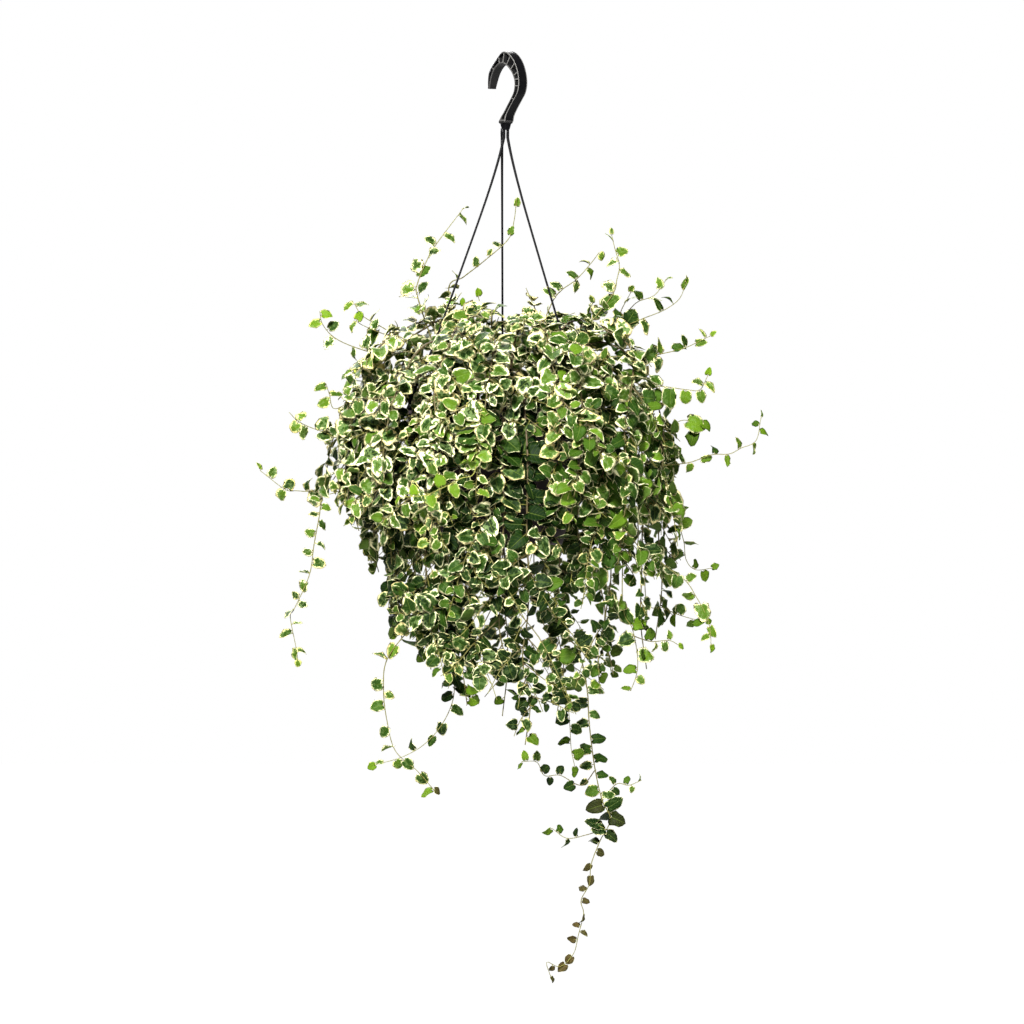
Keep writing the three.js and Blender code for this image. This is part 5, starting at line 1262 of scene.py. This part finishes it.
# Crown
# Stems that stand up from the soil, arch out over the pot's rim and hang down between
# the others. One short one fills the middle.
CROWN = {
    "crown_a": dict(
        route=[(23, 18), (39, 17, -336), (48, 28, -305), (77, 51, -318), (107, 76, -346), (160, 95, -392),
            (166, 95, -446), (154, 107, -500), (161, 92, -556), (159, 96, -590)]),
    "crown_b": dict(
        route=[(5, 44), (12, 70, -342), (7, 95, -311), (2, 138, -324), (23, 173, -346), (51, 181, -392),
            (69, 183, -446), (74, 184, -500), (61, 176, -560)]),
    "crown_c": dict(
        route=[(-30, 31), (-44, 48, -334), (-63, 56, -303), (-97, 77, -316), (-137, 86, -346),
            (-164, 104, -392), (-173, 106, -446), (-174, 107, -500), (-169, 99, -556), (-161, 95, -600)]),
    "crown_d": dict(
        route=[(-49, 0), (-71, 0, -340), (-89, -10, -309), (-127, -24, -322), (-155, -55, -346),
            (-185, -75, -392), (-183, -90, -446), (-190, -90, -500), (-174, -81, -560)]),
    "crown_e": dict(
        route=[(-32, -36), (-45, -56, -336), (-48, -80, -305), (-57, -120, -318), (-68, -159, -346),
            (-83, -170, -392), (-81, -179, -446), (-90, -172, -500), (-87, -170, -556), (-88, -168, -580)]),
    "crown_f": dict(
        route=[(4, -38), (10, -60, -342), (25, -76, -311), (49, -108, -324), (50, -148, -346),
            (64, -168, -392), (64, -179, -446), (55, -165, -500)]),
    "crown_g": dict(
        route=[(33, -23), (56, -36, -340), (82, -38, -309), (124, -44, -322), (152, -69, -346),
            (150, -115, -392), (142, -124, -446), (146, -127, -500), (140, -127, -556), (134, -125, -600)]),
    "crown_h": dict(
        route=[(-10, -22), (-16, -25, -328), (-15, -34, -297), (-17, -65, -310)])}

for seed, (name, plant) in enumerate(CROWN.items(), 280):
    full_stem(name, plant, seed, cream=0.80, tone=0.46, step=0.0092, reach=0.055, twig_step=0.028)

# Stage, light and camera
# A pale floor well below the hanging plant, a plain pale room, a soft light high at the
# front left, broad weaker ones right and behind, and a level camera from far off.
FLOOR_Z, FLOOR_HALF = -1.6, 30
WHITE = (1, 1, 1)

pale, tree, shader = new_material("pale floor")
wire(tree, shader, {"Base Color": (0.6, 0.6, 0.6), "Roughness": 0.9, "Emission Color": WHITE,
                    "Emission Strength": put(tree, "LightPath")["Is Camera Ray"]})
corners = np.array([[-1, -1, 0], [1, -1, 0], [1, 1, 0], [-1, 1, 0]]) * FLOOR_HALF + [0, 0, FLOOR_Z]
mesh_piece("floor", corners, np.array([[0, 1, 2, 3]]), materials=[pale], smooth=False)

room = bpy.data.worlds.new("room")
bpy.context.scene.world = room
room.use_nodes = True
tree = room.node_tree
unlit = put(tree, "Background", {"Color": WHITE, "Strength": 1.0})["Background"]
dim = wire(tree, tree.nodes["Background"], {"Color": WHITE, "Strength": 0.03})["Background"]
view = put(tree, "MixShader", {"Fac": put(tree, "LightPath")["Is Camera Ray"], 1: dim, 2: unlit})
wire(tree, tree.nodes["World Output"], {"Surface": view["Shader"]})


def soft_light(name, size, power, place, aim):
    """A square area light looking at a point."""
    light = bpy.data.lights.new(name, "AREA")
    light.size, light.energy = size, power
    lamp = bpy.data.objects.new(name, light)
    x, y, z = np.array(aim) - np.array(place)
    lamp.location = place
    lamp.rotation_euler = (math.atan2(math.hypot(x, y), -z), 0, math.atan2(y, x) - math.pi / 2)
    bpy.context.scene.collection.objects.link(lamp)


soft_light("key", 0.5, 345, (-0.6, -3.0, 1.35), (0, 0, -0.6))
soft_light("fill", 2.0, 48, (2.6, -1.6, 0.6), (0, 0, -0.5))
soft_light("back", 2.4, 250, (-0.8, 2.8, 1.3), (0, 0, -0.5))

camera = bpy.data.objects.new("camera", bpy.data.cameras.new("camera"))
camera.data.sensor_width = 36
camera.data.lens = 351.5
camera.data.clip_end = 200
camera.location = (0.0084, -12.0, -0.5376)
camera.rotation_euler = (math.pi / 2, 0, 0)
bpy.context.scene.collection.objects.link(camera)
bpy.context.scene.camera = camera
bpy.context.scene.view_settings.view_transform = "Standard"
